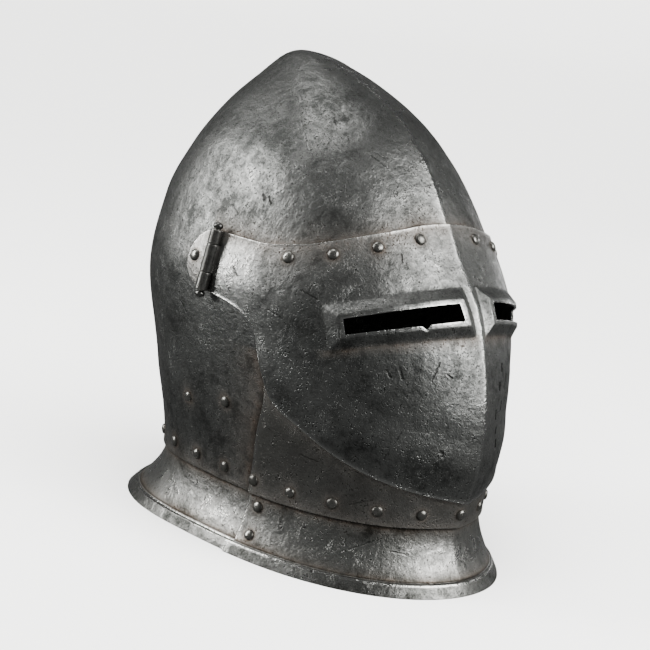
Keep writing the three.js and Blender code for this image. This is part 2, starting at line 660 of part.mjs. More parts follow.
function makeVisor() {
  const lipInner = (SIGHT_INNER_TURN + BRIDGE_TURN) / 2 + 0.6;
  const lipOuter = SIGHT_OUTER_TURN + 1.4;
  const slotSteps = 5;
  const slotColumns = Array.from({ length: slotSteps + 1 }, (_, k) => (
    SIGHT_INNER_TURN + ((SIGHT_OUTER_TURN - SIGHT_INNER_TURN) * k) / slotSteps
  ));
  const past = [54, 60, 65, 68.2, 70.5, 74.5, 78.5, 82]; // columns between a frame and the tab's end
  const near = [BRIDGE_TURN, lipInner, ...slotColumns, lipOuter, FRAME_END_TURN, ...past];
  const turns = [...near.map((turn) => -turn).reverse(), 0, ...near];
  const half = near.length;
  const low = 4; // rows below the frame
  const framed = (turn) => Math.abs(turn) >= lipInner - 1e-6 && Math.abs(turn) <= lipOuter + 1e-6;
  const rowLevel = (turn, row) => {
    const [bottom, top, slot] = [visorBottomAt(turn), visorTopAt(turn), sightLevelAt(turn)];
    const lines = [
      slot - SIGHT_GAP / 2 - FRAME_LIP - FRAME_BEVEL, slot - SIGHT_GAP / 2 - FRAME_LIP,
      slot - SIGHT_GAP / 2, slot + SIGHT_GAP / 2,
      slot + SIGHT_GAP / 2 + FRAME_LIP, slot + SIGHT_GAP / 2 + FRAME_LIP + FRAME_BEVEL,
    ];
    const structured = row < low
      ? bottom + ((lines[0] - bottom) * row) / low
      : row < low + 6 ? lines[row - low] : lines[5] + ((top - lines[5]) * (row - low - 5)) / 2;
    const even = bottom + ((top - bottom) * row) / (low + 7);
    const share = THREE.MathUtils.clamp((Math.abs(turn) - 56) / 12, 0, 1);
    return structured + (even - structured) * share;
  };
  const place = (column, row) => {
    const nominal = turns[column];
    const z = rowLevel(nominal, row);
    const atEnd = column === 0 || column === turns.length - 1;
    const turn = atEnd ? Math.sign(nominal) * turnAt(HINGE_BACK - FIT, z) : nominal;
    const raised = framed(turn) && row > low && row < low + 5 ? FRAME_PROUD : 0;
    return { turn, z, lift: visorLiftAt(turn, z) + raised };
  };
  const inSlot = (column) => {
    const n = column < half ? half - 1 - column : column - half;
    return n >= 3 && n < 3 + slotColumns.length - 1;
  };
  const keep = (column, row) => !(row === low + 2 && inSlot(column));
  let visor = bentPlate(turns.length, low + 8, place, { keep });
  for (const { turn, height } of BREATHS) {
    const z = heightOf(height);
    const box = new THREE.BoxGeometry(BREATH_WIDTH, BREATH_HEIGHT, CUT_REACH);
    const out = outwards(turn, z);
    const up = upwards(turn, z).normalize();
    box.applyMatrix4(new THREE.Matrix4().makeBasis(up.clone().cross(out), up, out));
    const centre = lifted(turn, z, visorLiftAt(turn, z));
    box.translate(centre.x, centre.y, centre.z);
    visor = visor.subtract(solidOf(box));
  }
  visor = visor.add(knuckle(MIDDLE_KNUCKLE, -1));
  visor = visor.subtract(clearOf(LOW_KNUCKLE)).subtract(clearOf(HIGH_KNUCKLE)).subtract(pinBore);
  return visor.subtract(latchNotch());
}

// Hinge leaf: a half-round plate riveted to the skull, with the outer two knuckles
function makeLeaf() {
  const rows = 7;
  const columns = 4;
  const place = (column, row) => {
    const up = -1 + (2 * row) / (rows - 1);
    const z = hingeMiddle + up * LEAF_RADIUS * 0.99;
    const reach = Math.max(LEAF_RADIUS * Math.sqrt(1 - up * up), LEAF_RADIUS * 0.3);
    const from = HINGE_BACK + FIT;
    const to = HINGE_BACK + KNUCKLE_RADIUS + reach;
    const y = from + ((to - from) * column) / (columns - 1);
    return { turn: turnAt(y, z), z, lift: LEAF_LIFT };
  };
  return bentPlate(columns, rows, place)
    .add(knuckle(LOW_KNUCKLE, 1))
    .add(knuckle(HIGH_KNUCKLE, 1))
    .subtract(clearOf(MIDDLE_KNUCKLE))
    .subtract(pinBore);
}

function makePin() {
  const shoulder = HINGE_LENGTH / 2 + FIT;
  const end = (side) => [
    [PIN_RADIUS, side * shoulder],
    [PIN_BALL_RADIUS, side * (shoulder + 0.2 * PIN_BALL_HEIGHT)],
    [PIN_BALL_RADIUS, side * (shoulder + 0.6 * PIN_BALL_HEIGHT)],
    [0, side * (shoulder + PIN_BALL_HEIGHT)],
  ];
  return turnedAlong([...end(-1).reverse(), ...end(1)], 8, hingeOrigin, hingeAxis);
}

// Latch: a headed stud on the skull that the visor's left end slides under, in an open notch
function latchNotch() {
  const depth = 30; // past the tab's rear end
  const centre = onBody(LATCH_TURN, hingeMiddle);
  const out = outwards(LATCH_TURN, hingeMiddle);
  const along = hingeAxis.clone().cross(centre.clone().sub(hingeOrigin)).normalize(); // visor's path
  const across = out.clone().cross(along).normalize();
  const box = new THREE.BoxGeometry(depth, 2 * (LATCH_SHANK_RADIUS + FIT), CUT_REACH);
  box.translate(depth / 2, 0, 0);
  box.applyMatrix4(new THREE.Matrix4().makeBasis(along, across, along.clone().cross(across)));
  box.translate(centre.x, centre.y, centre.z);
  return solidOf(box).add(rod(LATCH_SHANK_RADIUS + FIT, -5, 8, 8, centre, out));
}

function makeLatch() {
  const [origin, out] = [onBody(LATCH_TURN, hingeMiddle), outwards(LATCH_TURN, hingeMiddle)];
  const seat = faceLift('visor', origin, out, LATCH_HEAD_RADIUS, 1) + FIT;
  const behind = faceLift('skull', origin, out, RIVET_TAIL_RADIUS, -1) - FIT;
  const profile = [
    [0, seat + LATCH_HEAD_HEIGHT],
    [LATCH_HEAD_RADIUS * 0.8, seat + LATCH_HEAD_HEIGHT],
    [LATCH_HEAD_RADIUS, seat + LATCH_HEAD_HEIGHT * 0.5],
    [LATCH_HEAD_RADIUS, seat],
    [LATCH_SHANK_RADIUS, seat],
    [LATCH_SHANK_RADIUS, behind],
    [RIVET_TAIL_RADIUS, behind],
    [0, behind - RIVET_TAIL_HEIGHT],
  ];
  holes.skull.push(punch(LATCH_SHANK_RADIUS, origin, out));
  return turnedAlong(profile, 8, origin, out);
}

addPlate('skull', makeSkull());
addPlate('bevor', makeBevor());
addPlate('collar_front', makeCollarFront());
addPlate('collar_back', makeCollarBack());
addPlate('visor', makeVisor());
addPlate('hinge_leaf', makeLeaf());
addRivets();
const latch = makeLatch();
const finishOf = (name) => STEELS[name.split('_')[0]] ?? STEELS.fittings;
for (const [name, solid] of Object.entries(plates)) {
  addPiece(name, holes[name].reduce((rest, hole) => rest.subtract(hole), solid), finishOf(name));
}
addPiece('hinge_pin', makePin(), STEELS.fittings);
addPiece('latch_stud', latch, STEELS.fittings);
for (const { name, solid } of rivets) addPiece(name, solid, STEELS.fittings);

// The origin is the middle of the whole helmet's box, on the plane of the rim's underside
const whole = new THREE.Box3().setFromObject(group);
group.position.set(-(whole.min.x + whole.max.x) / 2, -(whole.min.y + whole.max.y) / 2, 0);

export default group;
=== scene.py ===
"""Great bascinet of aged steel: pointed skull, hinged visor, bevor and a flared collar.

Every plate is a fine grid bent over one body surface, the same one that the part's source uses.
A turn goes round the helmet in degrees: 0 is the ridge in front, 180 the back, positive on the
wearer's right, where the hinge is. Lengths in this file are millimetres until they reach a mesh.
"""

import math

import bmesh
import bpy
import numpy as np
from mathutils import Matrix, Vector, noise


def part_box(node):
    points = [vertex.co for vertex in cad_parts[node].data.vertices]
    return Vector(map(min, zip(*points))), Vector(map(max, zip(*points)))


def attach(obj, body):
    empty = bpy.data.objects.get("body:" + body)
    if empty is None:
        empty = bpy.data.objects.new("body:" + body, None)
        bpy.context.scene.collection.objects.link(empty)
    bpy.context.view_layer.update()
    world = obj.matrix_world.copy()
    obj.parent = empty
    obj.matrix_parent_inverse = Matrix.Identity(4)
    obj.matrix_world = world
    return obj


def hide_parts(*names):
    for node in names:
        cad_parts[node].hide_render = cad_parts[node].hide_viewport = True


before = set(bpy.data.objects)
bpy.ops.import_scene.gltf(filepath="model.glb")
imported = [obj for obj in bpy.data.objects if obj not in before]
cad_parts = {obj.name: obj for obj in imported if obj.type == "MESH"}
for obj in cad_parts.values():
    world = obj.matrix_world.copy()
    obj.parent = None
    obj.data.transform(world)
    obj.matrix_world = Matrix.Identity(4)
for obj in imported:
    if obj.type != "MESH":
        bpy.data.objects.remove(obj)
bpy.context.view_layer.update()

MM = 0.001

# Sizes that the solids have too
NECK = 45.8
SKULL_HEIGHT = 315.8
PEAK = NECK + SKULL_HEIGHT
HALF_WIDTH = 119.9
FACE_REACH = 151
BACK_REACH = 161.6
RIM_SIDE_FLARE, RIM_FRONT_FLARE, RIM_BACK_FLARE = 13.4, 22.5, 32.8
KEEL_HEIGHT, KEEL_SPREAD, CREASE_FADE = 3, 12, 60
FULLNESS = 2.65
WIDEST = 0.58
PEAK_BACK = 0.51
WALL = 1.8
LAP_GAP, VISOR_GAP, FIT = 0.7, 0.8, 0.3
PLATE_LAP = 17
RIM_BAND, RIM_BAND_PROUD = 8.5, 1.3
NECK_FLANGE = 20.5
SEAM_TURN, OPENING_TURN = 73, 63
SLOT_INNER, SLOT_OUTER = 7.8, 43.5
SLOT_LEVEL, SLOT_DROP, SLOT_GAP = 0.4987 * SKULL_HEIGHT, 0.0522 * SKULL_HEIGHT, 10.6
SLOT_BOW = 2.7  # about how far a slot's ends hang below its middle
FRAME_LIP, FRAME_BEVEL, FRAME_PROUD = 2.6, 8, 4.6
BRIDGE_TURN, LIP_INNER, LIP_OUTER, FRAME_END = 2.6, 5.8, 44.9, 49
HINGE_BACK, HINGE_LEVEL, HINGE_LENGTH = 23, 0.511 * SKULL_HEIGHT, 45
KNUCKLE_RADIUS, PIN_RADIUS, PIN_BALL_RADIUS = 4.7, 2.3, 3.75
PIN_BALL_TALL = 5.6
LEAF_RADIUS = 21.5
LATCH_TURN = -81
HEAD_RADIUS, HEAD_HEIGHT, SHANK_RADIUS, TAIL_RADIUS = 4.2, 2.5, 1.9, 2.9
NECK_RIVETS, NECK_RIVET_LEVEL, VISOR_RIVET_INSET = 24, NECK + 10.7, 8.2
BEVOR_TOP_TURN = 66
VISOR_GRID_TURN = 82  # where the visor's grid ends, before its end is drawn to the hinge's line
DOME_SHARE = 0.975  # above this height share the skull closes in rings round its peak
REAR_EDGE_ARC = 1.75  # millimetres of steel for each degree of turn beside the bevor's rear edge
LATCH_RADIUS, LATCH_HEIGHT, LATCH_SHANK = 4.6, 2, 2.1
DENT_WIDE, DENT_FINE = (0.26, 34), (0.1, 13)  # the hammer's unevenness: depth and spacing
# A ring of rust and painted shade round each rivet's head: its strength, and its reach in millimetres
RIVET_RUST_AND_SHADE, RIVET_RUST_AND_SHADE_REACH = 0.75, 3.2

# Height share, width, front, back and roundness of the front half, from the neck to the tip
SECTIONS = [
    (0, 0.841, 0.94, 0.815, 1.88),
    (0.216, 0.94, 1, 0.892, 1.52),
    (0.457, 1, 0.88, 1, 1.77),
    (0.622, 0.905, 0.642, 0.975, 2.22),
    (0.757, 0.775, 0.447, 0.864, 1.97),
    (0.863, 0.553, 0.238, 0.767, 1.87),
    (0.944, 0.334, -0.086, 0.639, 1.95),
    (0.998, 0.11, -0.437, 0.572, 2),
]
# Turn and height share along the visor's edges, and the bevor's rear edge the other way round
VISOR_TOP = [(0, 0.671), (10, 0.665), (18, 0.654), (29, 0.637), (39, 0.619), (54, 0.592),
             (68, 0.578), (86, 0.583)]
VISOR_BOTTOM = [(0, 0.066), (19, 0.086), (34, 0.111), (47.4, 0.15), (58.3, 0.2), (66.5, 0.25),
                (68.2, 0.303), (69.3, 0.37), (70.5, 0.399), (75.8, 0.43), (86, 0.442)]
BEVOR_REAR = [(0, 73), (0.14, 71.4), (0.24, 68.8), (0.34, 67.6)]
BREATHS = [(-16, 0.368), (-21, 0.34), (-14, 0.329), (-22, 0.297), (-17, 0.283), (-12, 0.269),
           (-20, 0.245), (-14, 0.231), (-16, 0.198)]
VISOR_RIVET_TURNS = [12, 27.7, 42.9, 57.5]
SIDE_RIVETS = [(100, 0.17), (82.5, 0.196)]
SEAM_RIVET_LEVELS = [0.81, 0.36]
SEAM_RIVET_TURN = SEAM_TURN - 3.6

# Outer faces off the body
SKULL_LIFT = 0
BEVOR_LIFT = LAP_GAP + WALL
COLLAR_BACK_LIFT = -WALL - LAP_GAP
VISOR_LOW_LIFT = BEVOR_LIFT + VISOR_GAP + WALL
VISOR_HIGH_LIFT = VISOR_GAP + WALL
LEAF_LIFT = VISOR_HIGH_LIFT


def curve_through(xs, ys):
    """Smooth curve through points, without overshoot."""
    xs, ys = np.array(xs, float), np.array(ys, float)
    h = np.diff(xs)
    rise = np.diff(ys) / h
    slopes = np.zeros(len(xs))
    for k in range(1, len(h)):
        if rise[k - 1] * rise[k] > 0:
            w1, w2 = 2 * h[k] + h[k - 1], h[k] + 2 * h[k - 1]
            slopes[k] = (w1 + w2) / (w1 / rise[k - 1] + w2 / rise[k])

    def end_slope(h0, h1, d0, d1):
        slope = ((2 * h0 + h1) * d0 - h0 * d1) / (h0 + h1)
        if slope * d0 <= 0:
            return 0
        return 3 * d0 if d0 * d1 < 0 and abs(slope) > 3 * abs(d0) else slope

    slopes[0] = end_slope(h[0], h[1], rise[0], rise[1])
    slopes[-1] = end_slope(h[-1], h[-2], rise[-1], rise[-2])

    def at(x):
        x = np.asarray(x, float)
        k = np.clip(np.searchsorted(xs, x, side="right") - 1, 0, len(h) - 1)
        s = np.clip((x - xs[k]) / h[k], 0, 1)
        return (ys[k] * (1 + 2 * s) * (1 - s) ** 2 + slopes[k] * h[k] * s * (1 - s) ** 2
                + ys[k + 1] * s * s * (3 - 2 * s) + slopes[k + 1] * h[k] * s * s * (s - 1))
    return at


LEVELS = [0] + [NECK + row[0] * SKULL_HEIGHT for row in SECTIONS]
neck_row = SECTIONS[0]
width_at = curve_through(LEVELS, [neck_row[1] * HALF_WIDTH + RIM_SIDE_FLARE]
                         + [row[1] * HALF_WIDTH for row in SECTIONS])
front_at = curve_through(LEVELS, [-(neck_row[2] * FACE_REACH + RIM_FRONT_FLARE)]
                         + [-row[2] * FACE_REACH for row in SECTIONS])
back_at = curve_through(LEVELS, [neck_row[3] * BACK_REACH + RIM_BACK_FLARE]
                        + [row[3] * BACK_REACH for row in SECTIONS])
nose_at = curve_through(LEVELS, [2] + [row[4] for row in SECTIONS])


def middle_at(z):
    """Y of the line about which the front and the back half bend."""
    return front_at(z) + (back_at(z) - front_at(z)) * WIDEST


def on_body(turn, z):
    """Points of the body surface, for arrays of turns and heights."""
    turn, z = np.broadcast_arrays(np.asarray(turn, float), np.asarray(z, float))
    turn = (turn + 180) % 360 - 180
    level = np.clip(z, 0, LEVELS[-1])
    along = np.cos(np.radians(np.abs(turn)))
    share = np.abs(along)
    power = np.where(along > 0, nose_at(level), 2)
    x = width_at(level) * np.maximum(1 - share ** FULLNESS, 0) ** (1 / power)
    keel = KEEL_HEIGHT * np.minimum(1, level / NECK) * np.clip((PEAK - level) / CREASE_FADE, 0, 1)
    keel = np.where(along > 0, keel * np.exp(-x / KEEL_SPREAD), 0)
    reach = np.where(along > 0, front_at(level), back_at(level))
    middle = middle_at(level)
    return np.stack([-np.sign(turn) * x, middle + (reach - middle) * share - keel, z], -1)


def unit(v):
    return v / np.maximum(np.linalg.norm(v, axis=-1, keepdims=True), 1e-9)


def outwards(turn, z):
    """The direction straight off the body."""
    up = on_body(turn, z + 0.5) - on_body(turn, z - 0.5)
    return unit(np.cross(up, on_body(turn + 0.5, z) - on_body(turn - 0.5, z)))


def hammered(points):
    """Shallow unevenness left by the hammer, the same for plates that lie on each other."""
    (wide, wide_step), (fine, fine_step) = DENT_WIDE, DENT_FINE
    return np.array([wide * noise.noise(Vector(p) / wide_step)
                     + fine * noise.noise(Vector(p) / fine_step + Vector((7, 3, 5))) for p in points])


def lifted(turn, z, lift):
    """Points off the body by a lift in millimetres."""
    return on_body(turn, z) + outwards(turn, z) * np.asarray(lift)[..., None]


def turn_at(y, z):
    """The turn at which the body reaches a given Y."""
    middle = middle_at(z)
    behind = 180 - np.degrees(np.arccos(np.clip((y - middle) / (back_at(z) - middle), -1, 1)))
    before = np.degrees(np.arccos(np.clip((middle - y) / (middle - front_at(z)), -1, 1)))
    return np.where(y > middle, behind, before)


def height_of(share):
    """Z of a share of the skull's height above the neck."""
    return NECK + share * SKULL_HEIGHT


top_share = curve_through(*zip(*VISOR_TOP))
bottom_share = curve_through(*zip(*VISOR_BOTTOM))
bevor_rear_turn = curve_through(*zip(*BEVOR_REAR))


def visor_top_at(turn):
    return height_of(top_share(np.abs(turn)))


def visor_bottom_at(turn):
    return height_of(bottom_share(np.abs(turn)))


def bevor_top_at(turn):
    return visor_bottom_at(np.minimum(np.abs(turn), BEVOR_TOP_TURN)) + PLATE_LAP


def smoothstep(x):
    x = np.clip(x, 0, 1)
    return x * x * (3 - 2 * x)


def visor_lift_at(turn, z):
    """How far the visor's outer face stands off the body: more where it closes over the bevor."""
    share = smoothstep((z - bevor_top_at(turn) - 4) / 26)
    return VISOR_LOW_LIFT + (VISOR_HIGH_LIFT - VISOR_LOW_LIFT) * share


def slot_level_at(turn):
    """Z of the sights' middle line, which falls and bows a little towards the sides."""
    share = (np.abs(turn) - SLOT_INNER) / (SLOT_OUTER - SLOT_INNER)
    bow = SLOT_BOW * (0.27 - np.minimum((share * 2 - 1.07) ** 2, 1.6))
    return NECK + SLOT_LEVEL - SLOT_DROP * share + bow


def even_turns(z, count, fro=0.0, to=180.0):
    """Turns at even steps along the body at one height."""
    fine = np.linspace(fro, to, 1441)
    steps = np.linalg.norm(np.diff(on_body(fine, np.full_like(fine, z)), axis=0), axis=1)
    length = np.concatenate([[0], np.cumsum(steps)])
    return np.interp(np.linspace(0, length[-1], count + 1), length, fine)


# The hinge line, parallel to the skull beside it
hinge_middle = NECK + HINGE_LEVEL
hinge_ends = [on_body(turn_at(HINGE_BACK, z), z)
              for z in (hinge_middle - HINGE_LENGTH / 2, hinge_middle + HINGE_LENGTH / 2)]
hinge_axis = unit(hinge_ends[1] - hinge_ends[0])
hinge_turn = float(turn_at(HINGE_BACK, hinge_middle))
hinge_out = outwards(hinge_turn, hinge_middle)
hinge_origin = lifted(hinge_turn, hinge_middle, KNUCKLE_RADIUS + VISOR_GAP)

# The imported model's origin is the middle of its box, so the body's own middle lies beside it
pin_low, pin_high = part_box("hinge_pin")
SHIFT = np.array((pin_low + pin_high) / 2) / MM - hinge_origin
SHIFT[2] = 0


def place_in_frame(points):
    return (np.asarray(points) + SHIFT) * MM


# Materials


def hex_colour(code):
    """An sRGB hex value as linear red, green, blue and alpha."""
    parts = [int(code[k:k + 2], 16) / 255 for k in (1, 3, 5)]
    return [c / 12.92 if c <= 0.04045 else ((c + 0.055) / 1.055) ** 2.4 for c in parts] + [1]


def add_node(tree, kind, inputs=None, **settings):
    """Adds a node with its settings; an input is a value or another node's output."""
    made = tree.nodes.new(kind)
    for name, value in settings.items():
        setattr(made, name, value)
    for name, value in (inputs or {}).items():
        if isinstance(value, bpy.types.NodeSocket):
            tree.links.new(value, made.inputs[name])
        else:
            made.inputs[name].default_value = value
    return made


def per_metre(millimetres):
    """Noise scale that gives marks of about this size."""
    return 1 / (millimetres * MM)


# Scratches, nicks and small dents that the photograph shows: from turn, height share, to turn,
# height share, half the width and the depth in millimetres
MARKS = {
    "skull_steel": [
        (68.2, 0.682, 67.2, 0.671, 0.9, 0.5), (65.6, 0.679, 64.4, 0.667, 0.8, 0.5),
        (27.8, 0.805, 20.2, 0.781, 0.45, 0.3), (26.2, 0.813, 20.5, 0.8, 0.4, 0.25),
        (63, 0.864, 54.2, 0.794, 0.5, 0.25), (79.5, 0.642, 76.5, 0.626, 0.6, 0.3),
        (43.8, 0.87, 43, 0.86, 1.2, 0.3), (99.2, 0.395, 96.2, 0.373, 0.5, 0.25),
    ],
    "visor_steel": [
        (18.2, 0.387, 21.5, 0.346, 0.5, 0.35), (34.8, 0.165, 31.2, 0.227, 0.45, 0.3),
        (20.2, 0.603, 20.8, 0.588, 0.6, 0.4), (18.5, 0.192, 17.5, 0.183, 1.5, 0.4),
        (34.2, 0.36, 33.2, 0.347, 0.9, 0.3), (30.4, 0.367, 30, 0.346, 0.9, 0.3),
        (54.8, 0.499, 50, 0.487, 0.5, 0.3), (64.5, 0.442, 61, 0.431, 0.5, 0.3),
        (75.8, 0.509, 74.5, 0.495, 0.6, 0.3), (16.2, 0.363, 14.8, 0.355, 0.7, 0.4),
    ],
    "collar_steel": [
        (39, -0.063, 29.2, -0.031, 0.45, 0.3), (25.8, -0.055, 19.5, -0.06, 0.45, 0.25),
        (79, -0.029, 78, -0.031, 1.2, 0.3), (103.5, -0.047, 97.8, -0.061, 0.5, 0.25),
    ],
    "bevor_steel": [(57.5, 0.132, 52.2, 0.126, 0.5, 0.25), (40.8, 0.039, 34.5, 0.059, 0.5, 0.25)],
}


def mark_point(slot, turn, share):
    """Where a mark's end lies on the outer face of the plates of one material, in metres."""
    z = height_of(share)
    lift = {"visor_steel": float(visor_lift_at(turn, z)), "bevor_steel": BEVOR_LIFT}.get(slot, 0)
    return place_in_frame(lifted(turn, z, lift))


RELIEF_DEPTH = 0.52  # millimetres of relief for a height of 1
WAVER = 1.8  # millimetres by which a mark strays from its straight line
# PIT_DARK darkens pits and marks; the second colour, near black, is painted shade for seams, laps and the
# rings round rivets
PIT_DARK, PAINTED_SHADE = "#1b1a18", "#15130f"


def aged_steel(slot, name, dark, worn, rust, polish=0.0, pitting=1.0, roughness=0.3, relief=1.0):
    """Hammered carbon steel left to age: a brown-black patina in clouds, rubbed bright where hands and
    cloths reach, with fine pits, wrinkles, hair scratches and a little rust along the laps. The
    per-vertex masks also paint highlights along edges and ridges, and paint shade, near black, along
    seams and round rivets."""
    material = bpy.data.materials.new(name)
    material.use_nodes = True
    tree = material.node_tree
    shader = tree.nodes["Principled BSDF"]
    place = add_node(tree, "ShaderNodeTexCoord").outputs["Object"]

    def noise_of(size, detail, harshness=0.55, vector=place, distortion=0.0):
        return add_node(tree, "ShaderNodeTexNoise", {
            "Vector": vector, "Scale": per_metre(size), "Detail": detail, "Roughness": harshness,
            "Distortion": distortion}).outputs["Fac"]

    def fitted(value, low, high, to_low=0.0, to_high=1.0):
        return add_node(tree, "ShaderNodeMapRange", {
            "Value": value, "From Min": low, "From Max": high, "To Min": to_low,
            "To Max": to_high}).outputs["Result"]

    def maths(operation, a, b):
        return add_node(tree, "ShaderNodeMath", {0: a, 1: b}, operation=operation).outputs[0]

    def vectors(operation, a, b, output=0):
        return add_node(tree, "ShaderNodeVectorMath", {0: a, 1: b}, operation=operation).outputs[output]

    def mixed(share, a, b):
        return add_node(tree, "ShaderNodeMix", {0: share, 6: a, 7: b}, data_type="RGBA").outputs[2]

    def scratch(fro, to, half_width):
        """1 along a line between two points in metres, 0 beyond its half width."""
        run = Vector(to) - Vector(fro)
        away = vectors("SUBTRACT", unsteady, tuple(fro))
        share = vectors("DOT_PRODUCT", away, tuple(run / run.length_squared), "Value")
        share = add_node(tree, "ShaderNodeClamp", {"Value": share}).outputs[0]
        foot = add_node(tree, "ShaderNodeVectorMath", {0: tuple(run), "Scale": share},
                        operation="SCALE").outputs[0]
        beside = vectors("DISTANCE", away, foot, "Value")
        return fitted(beside, half_width * MM * 0.2, half_width * MM, 1, 0)

    # Per-vertex masks: bright wear with painted highlights along edges, ridges and seams; rust with
    # painted shade along seams and round rivets
    wear_and_highlight = add_node(tree, "ShaderNodeAttribute", attribute_name="wear_and_highlight").outputs["Fac"]
    rust_and_shade = add_node(tree, "ShaderNodeAttribute", attribute_name="rust_and_shade").outputs["Fac"]

    # Sizes in millimetres: clouds of patina, blotches in them, the hammered skin and its grit. The
    # real skin and grit are finer, and are drawn as coarse as they need to be to show
    clouds = noise_of(38, 4, 0.6, distortion=0.4)
    blotches = noise_of(9, 5, 0.6)
    peel = noise_of(2.1, 3, 0.6, distortion=0.5)
    grit = noise_of(1.1, 2, 0.6)
    # Wrinkles: the thin lines where a middling noise crosses its mean, kept in patches
    patches = fitted(noise_of(15, 2), 0.5, 0.64)
    crossing = maths("ABSOLUTE", maths("SUBTRACT", noise_of(5.5, 2.5, 0.6, distortion=0.8), 0.5), 0)
    wrinkles = maths("MULTIPLY", fitted(crossing, 0.002, 0.016, 1, 0), patches)
    # Hair scratches: noise drawn out along a line, of which only a narrow band of values shows
    scratches = None
    for turned_by, size, band in (((0.2, 0.1, 0.3), 1.3, 0.012), ((0.9, -0.5, 0.1), 1.6, 0.01)):
        drawn = add_node(tree, "ShaderNodeMapping", {
            "Vector": place, "Rotation": turned_by, "Scale": (1, 1, 0.06)}).outputs["Vector"]
        line = noise_of(size, 0.5, 0.5, vector=drawn)
        away = maths("ABSOLUTE", maths("SUBTRACT", line, 0.62), 0)
        thin = fitted(away, 0, band, 1, 0)
        scratches = thin if scratches is None else maths("MAXIMUM", scratches, thin)
    scratches = maths("MULTIPLY", scratches, fitted(noise_of(16, 2), 0.5, 0.62))

    # The marks waver a little off their straight lines
    waver = add_node(tree, "ShaderNodeTexNoise", {
        "Vector": place, "Scale": per_metre(3)}).outputs["Color"]
    waver = vectors("SUBTRACT", waver, (0.5, 0.5, 0.5))
    unsteady = vectors("ADD", place, vectors("MULTIPLY", waver, (WAVER * MM,) * 3))
    gouges = None
    for fro_turn, fro_share, to_turn, to_share, half_width, depth in MARKS.get(slot, []):
        ends = mark_point(slot, fro_turn, fro_share), mark_point(slot, to_turn, to_share)
        cut = maths("MULTIPLY", scratch(*ends, half_width + 0.5), depth)
        gouges = cut if gouges is None else maths("MAXIMUM", gouges, cut)

    # How far the steel is rubbed bright at each place, from 0 to 1, with the mask's painted highlights
    # along edges, ridges and seams added in
    level = fitted(clouds, 0.34, 0.66, 0.06, 0.35)
    level = maths("ADD", level, fitted(blotches, 0.34, 0.66, -0.14, 0.14))
    level = maths("ADD", level, fitted(peel, 0.3, 0.7, -0.07, 0.08))
    level = maths("ADD", level, fitted(grit, 0.3, 0.7, -0.07, 0.07))
    level = maths("ADD", level, maths("MULTIPLY", wear_and_highlight, 0.8))
    level = maths("ADD", level, polish)
    level = maths("MAXIMUM", level, maths("MULTIPLY", scratches, 0.36))
    steel = mixed(fitted(level, 0, 1), hex_colour(dark), hex_colour(worn))

    # Pits eaten by rust, about a millimetre across, thickest where the blotches are
    pits = fitted(maths("ADD", noise_of(1.5, 1.5, 0.5), maths("MULTIPLY", blotches, 0.5)), 0.88, 0.95)
    pits = maths("MULTIPLY", pits, pitting)
    sunk = maths("MAXIMUM", pits, maths("MULTIPLY", wrinkles, 0.6 * pitting))
    if gouges is not None:
        sunk = maths("MAXIMUM", sunk, maths("MULTIPLY", gouges, 2.0))
    steel = mixed(maths("MULTIPLY", sunk, 0.75), steel, hex_colour(PIT_DARK))
    # The same mask gives rust here; where it runs high it also carries painted shade, laid on below
    rusty = maths("MULTIPLY", fitted(rust_and_shade, 0, 0.7), fitted(blotches, 0.32, 0.6, 0.35, 1))
    steel = mixed(maths("MULTIPLY", rusty, 0.6), steel, hex_colour(rust))
    # Painted shade: where the mask runs above 0.6, on laps and seams, under the neck's edge, over the
    # collar's band and round rivets, the steel goes near black
    painted_shade = maths("MULTIPLY", fitted(rust_and_shade, 0.6, 0.95), 0.85)
    steel = mixed(painted_shade, steel, hex_colour(PAINTED_SHADE))
    tree.links.new(steel, shader.inputs["Base Color"])

    # Rubbed steel is smooth, patina is satin and rust is rough
    gloss = maths("SUBTRACT", roughness + 0.17, fitted(level, 0, 1, 0, 0.34))
    gloss = maths("ADD", gloss, maths("MULTIPLY", rusty, 0.2))
    gloss = maths("ADD", gloss, fitted(blotches, 0.3, 0.7, 0.04, -0.04))
    tree.links.new(gloss, shader.inputs["Roughness"])
    tree.links.new(fitted(rusty, 0, 1, 1, 0.93), shader.inputs["Metallic"])

    # The relief, as shares of its depth
    height = maths("ADD", maths("MULTIPLY", blotches, 1.5), maths("MULTIPLY", peel, 0.36))
    height = maths("ADD", height, maths("MULTIPLY", grit, 0.08))
    height = maths("SUBTRACT", height, maths("MULTIPLY", pits, 0.22))
    height = maths("SUBTRACT", height, maths("MULTIPLY", wrinkles, 0.1))
    height = maths("SUBTRACT", height, maths("MULTIPLY", scratches, 0.12))
    if gouges is not None:
        height = maths("SUBTRACT", height, maths("MULTIPLY", gouges, 1.6))
    bump = add_node(tree, "ShaderNodeBump", {"Height": height, "Strength": 1.0,
                                             "Distance": RELIEF_DEPTH * MM * relief})
    tree.links.new(bump.outputs["Normal"], shader.inputs["Normal"])
    return material


# All are bare carbon steel and differ in how far they are rubbed: the visor and the collar shine
# most, the bevor is a dull grey, the hinge is black with oil and the rivets' heads are smooth
STEELS = {slot: aged_steel(slot, *rest, **more) for slot, rest, more in (
    ("skull_steel", ("aged hammered steel skull", "#474846", "#c0c1bd", "#54402f"), {}),
    ("visor_steel", ("aged hammered steel visor", "#484947", "#c8c9c5", "#54402f"), {"polish": 0.02}),
    ("bevor_steel", ("darkened steel bevor", "#706f6b", "#b4b3ae", "#4b3a2d"), {"polish": -0.02}),
    ("collar_steel", ("aged steel collar", "#3b3c39", "#c6c6c1", "#54412f"), {"polish": 0.03}),
    ("hinge_steel", ("dark oiled steel hinge", "#30312f", "#b3b3ae", "#3f3329"),
     {"polish": 0.08, "pitting": 0.25, "roughness": 0.26, "relief": 0.28}),
    ("rivet_steel", ("hammered rivet steel", "#484743", "#c2c1ba", "#4b3a2c"),
     {"polish": 0.06, "pitting": 0.35, "roughness": 0.28, "relief": 0.4}),
)}


# Making pieces

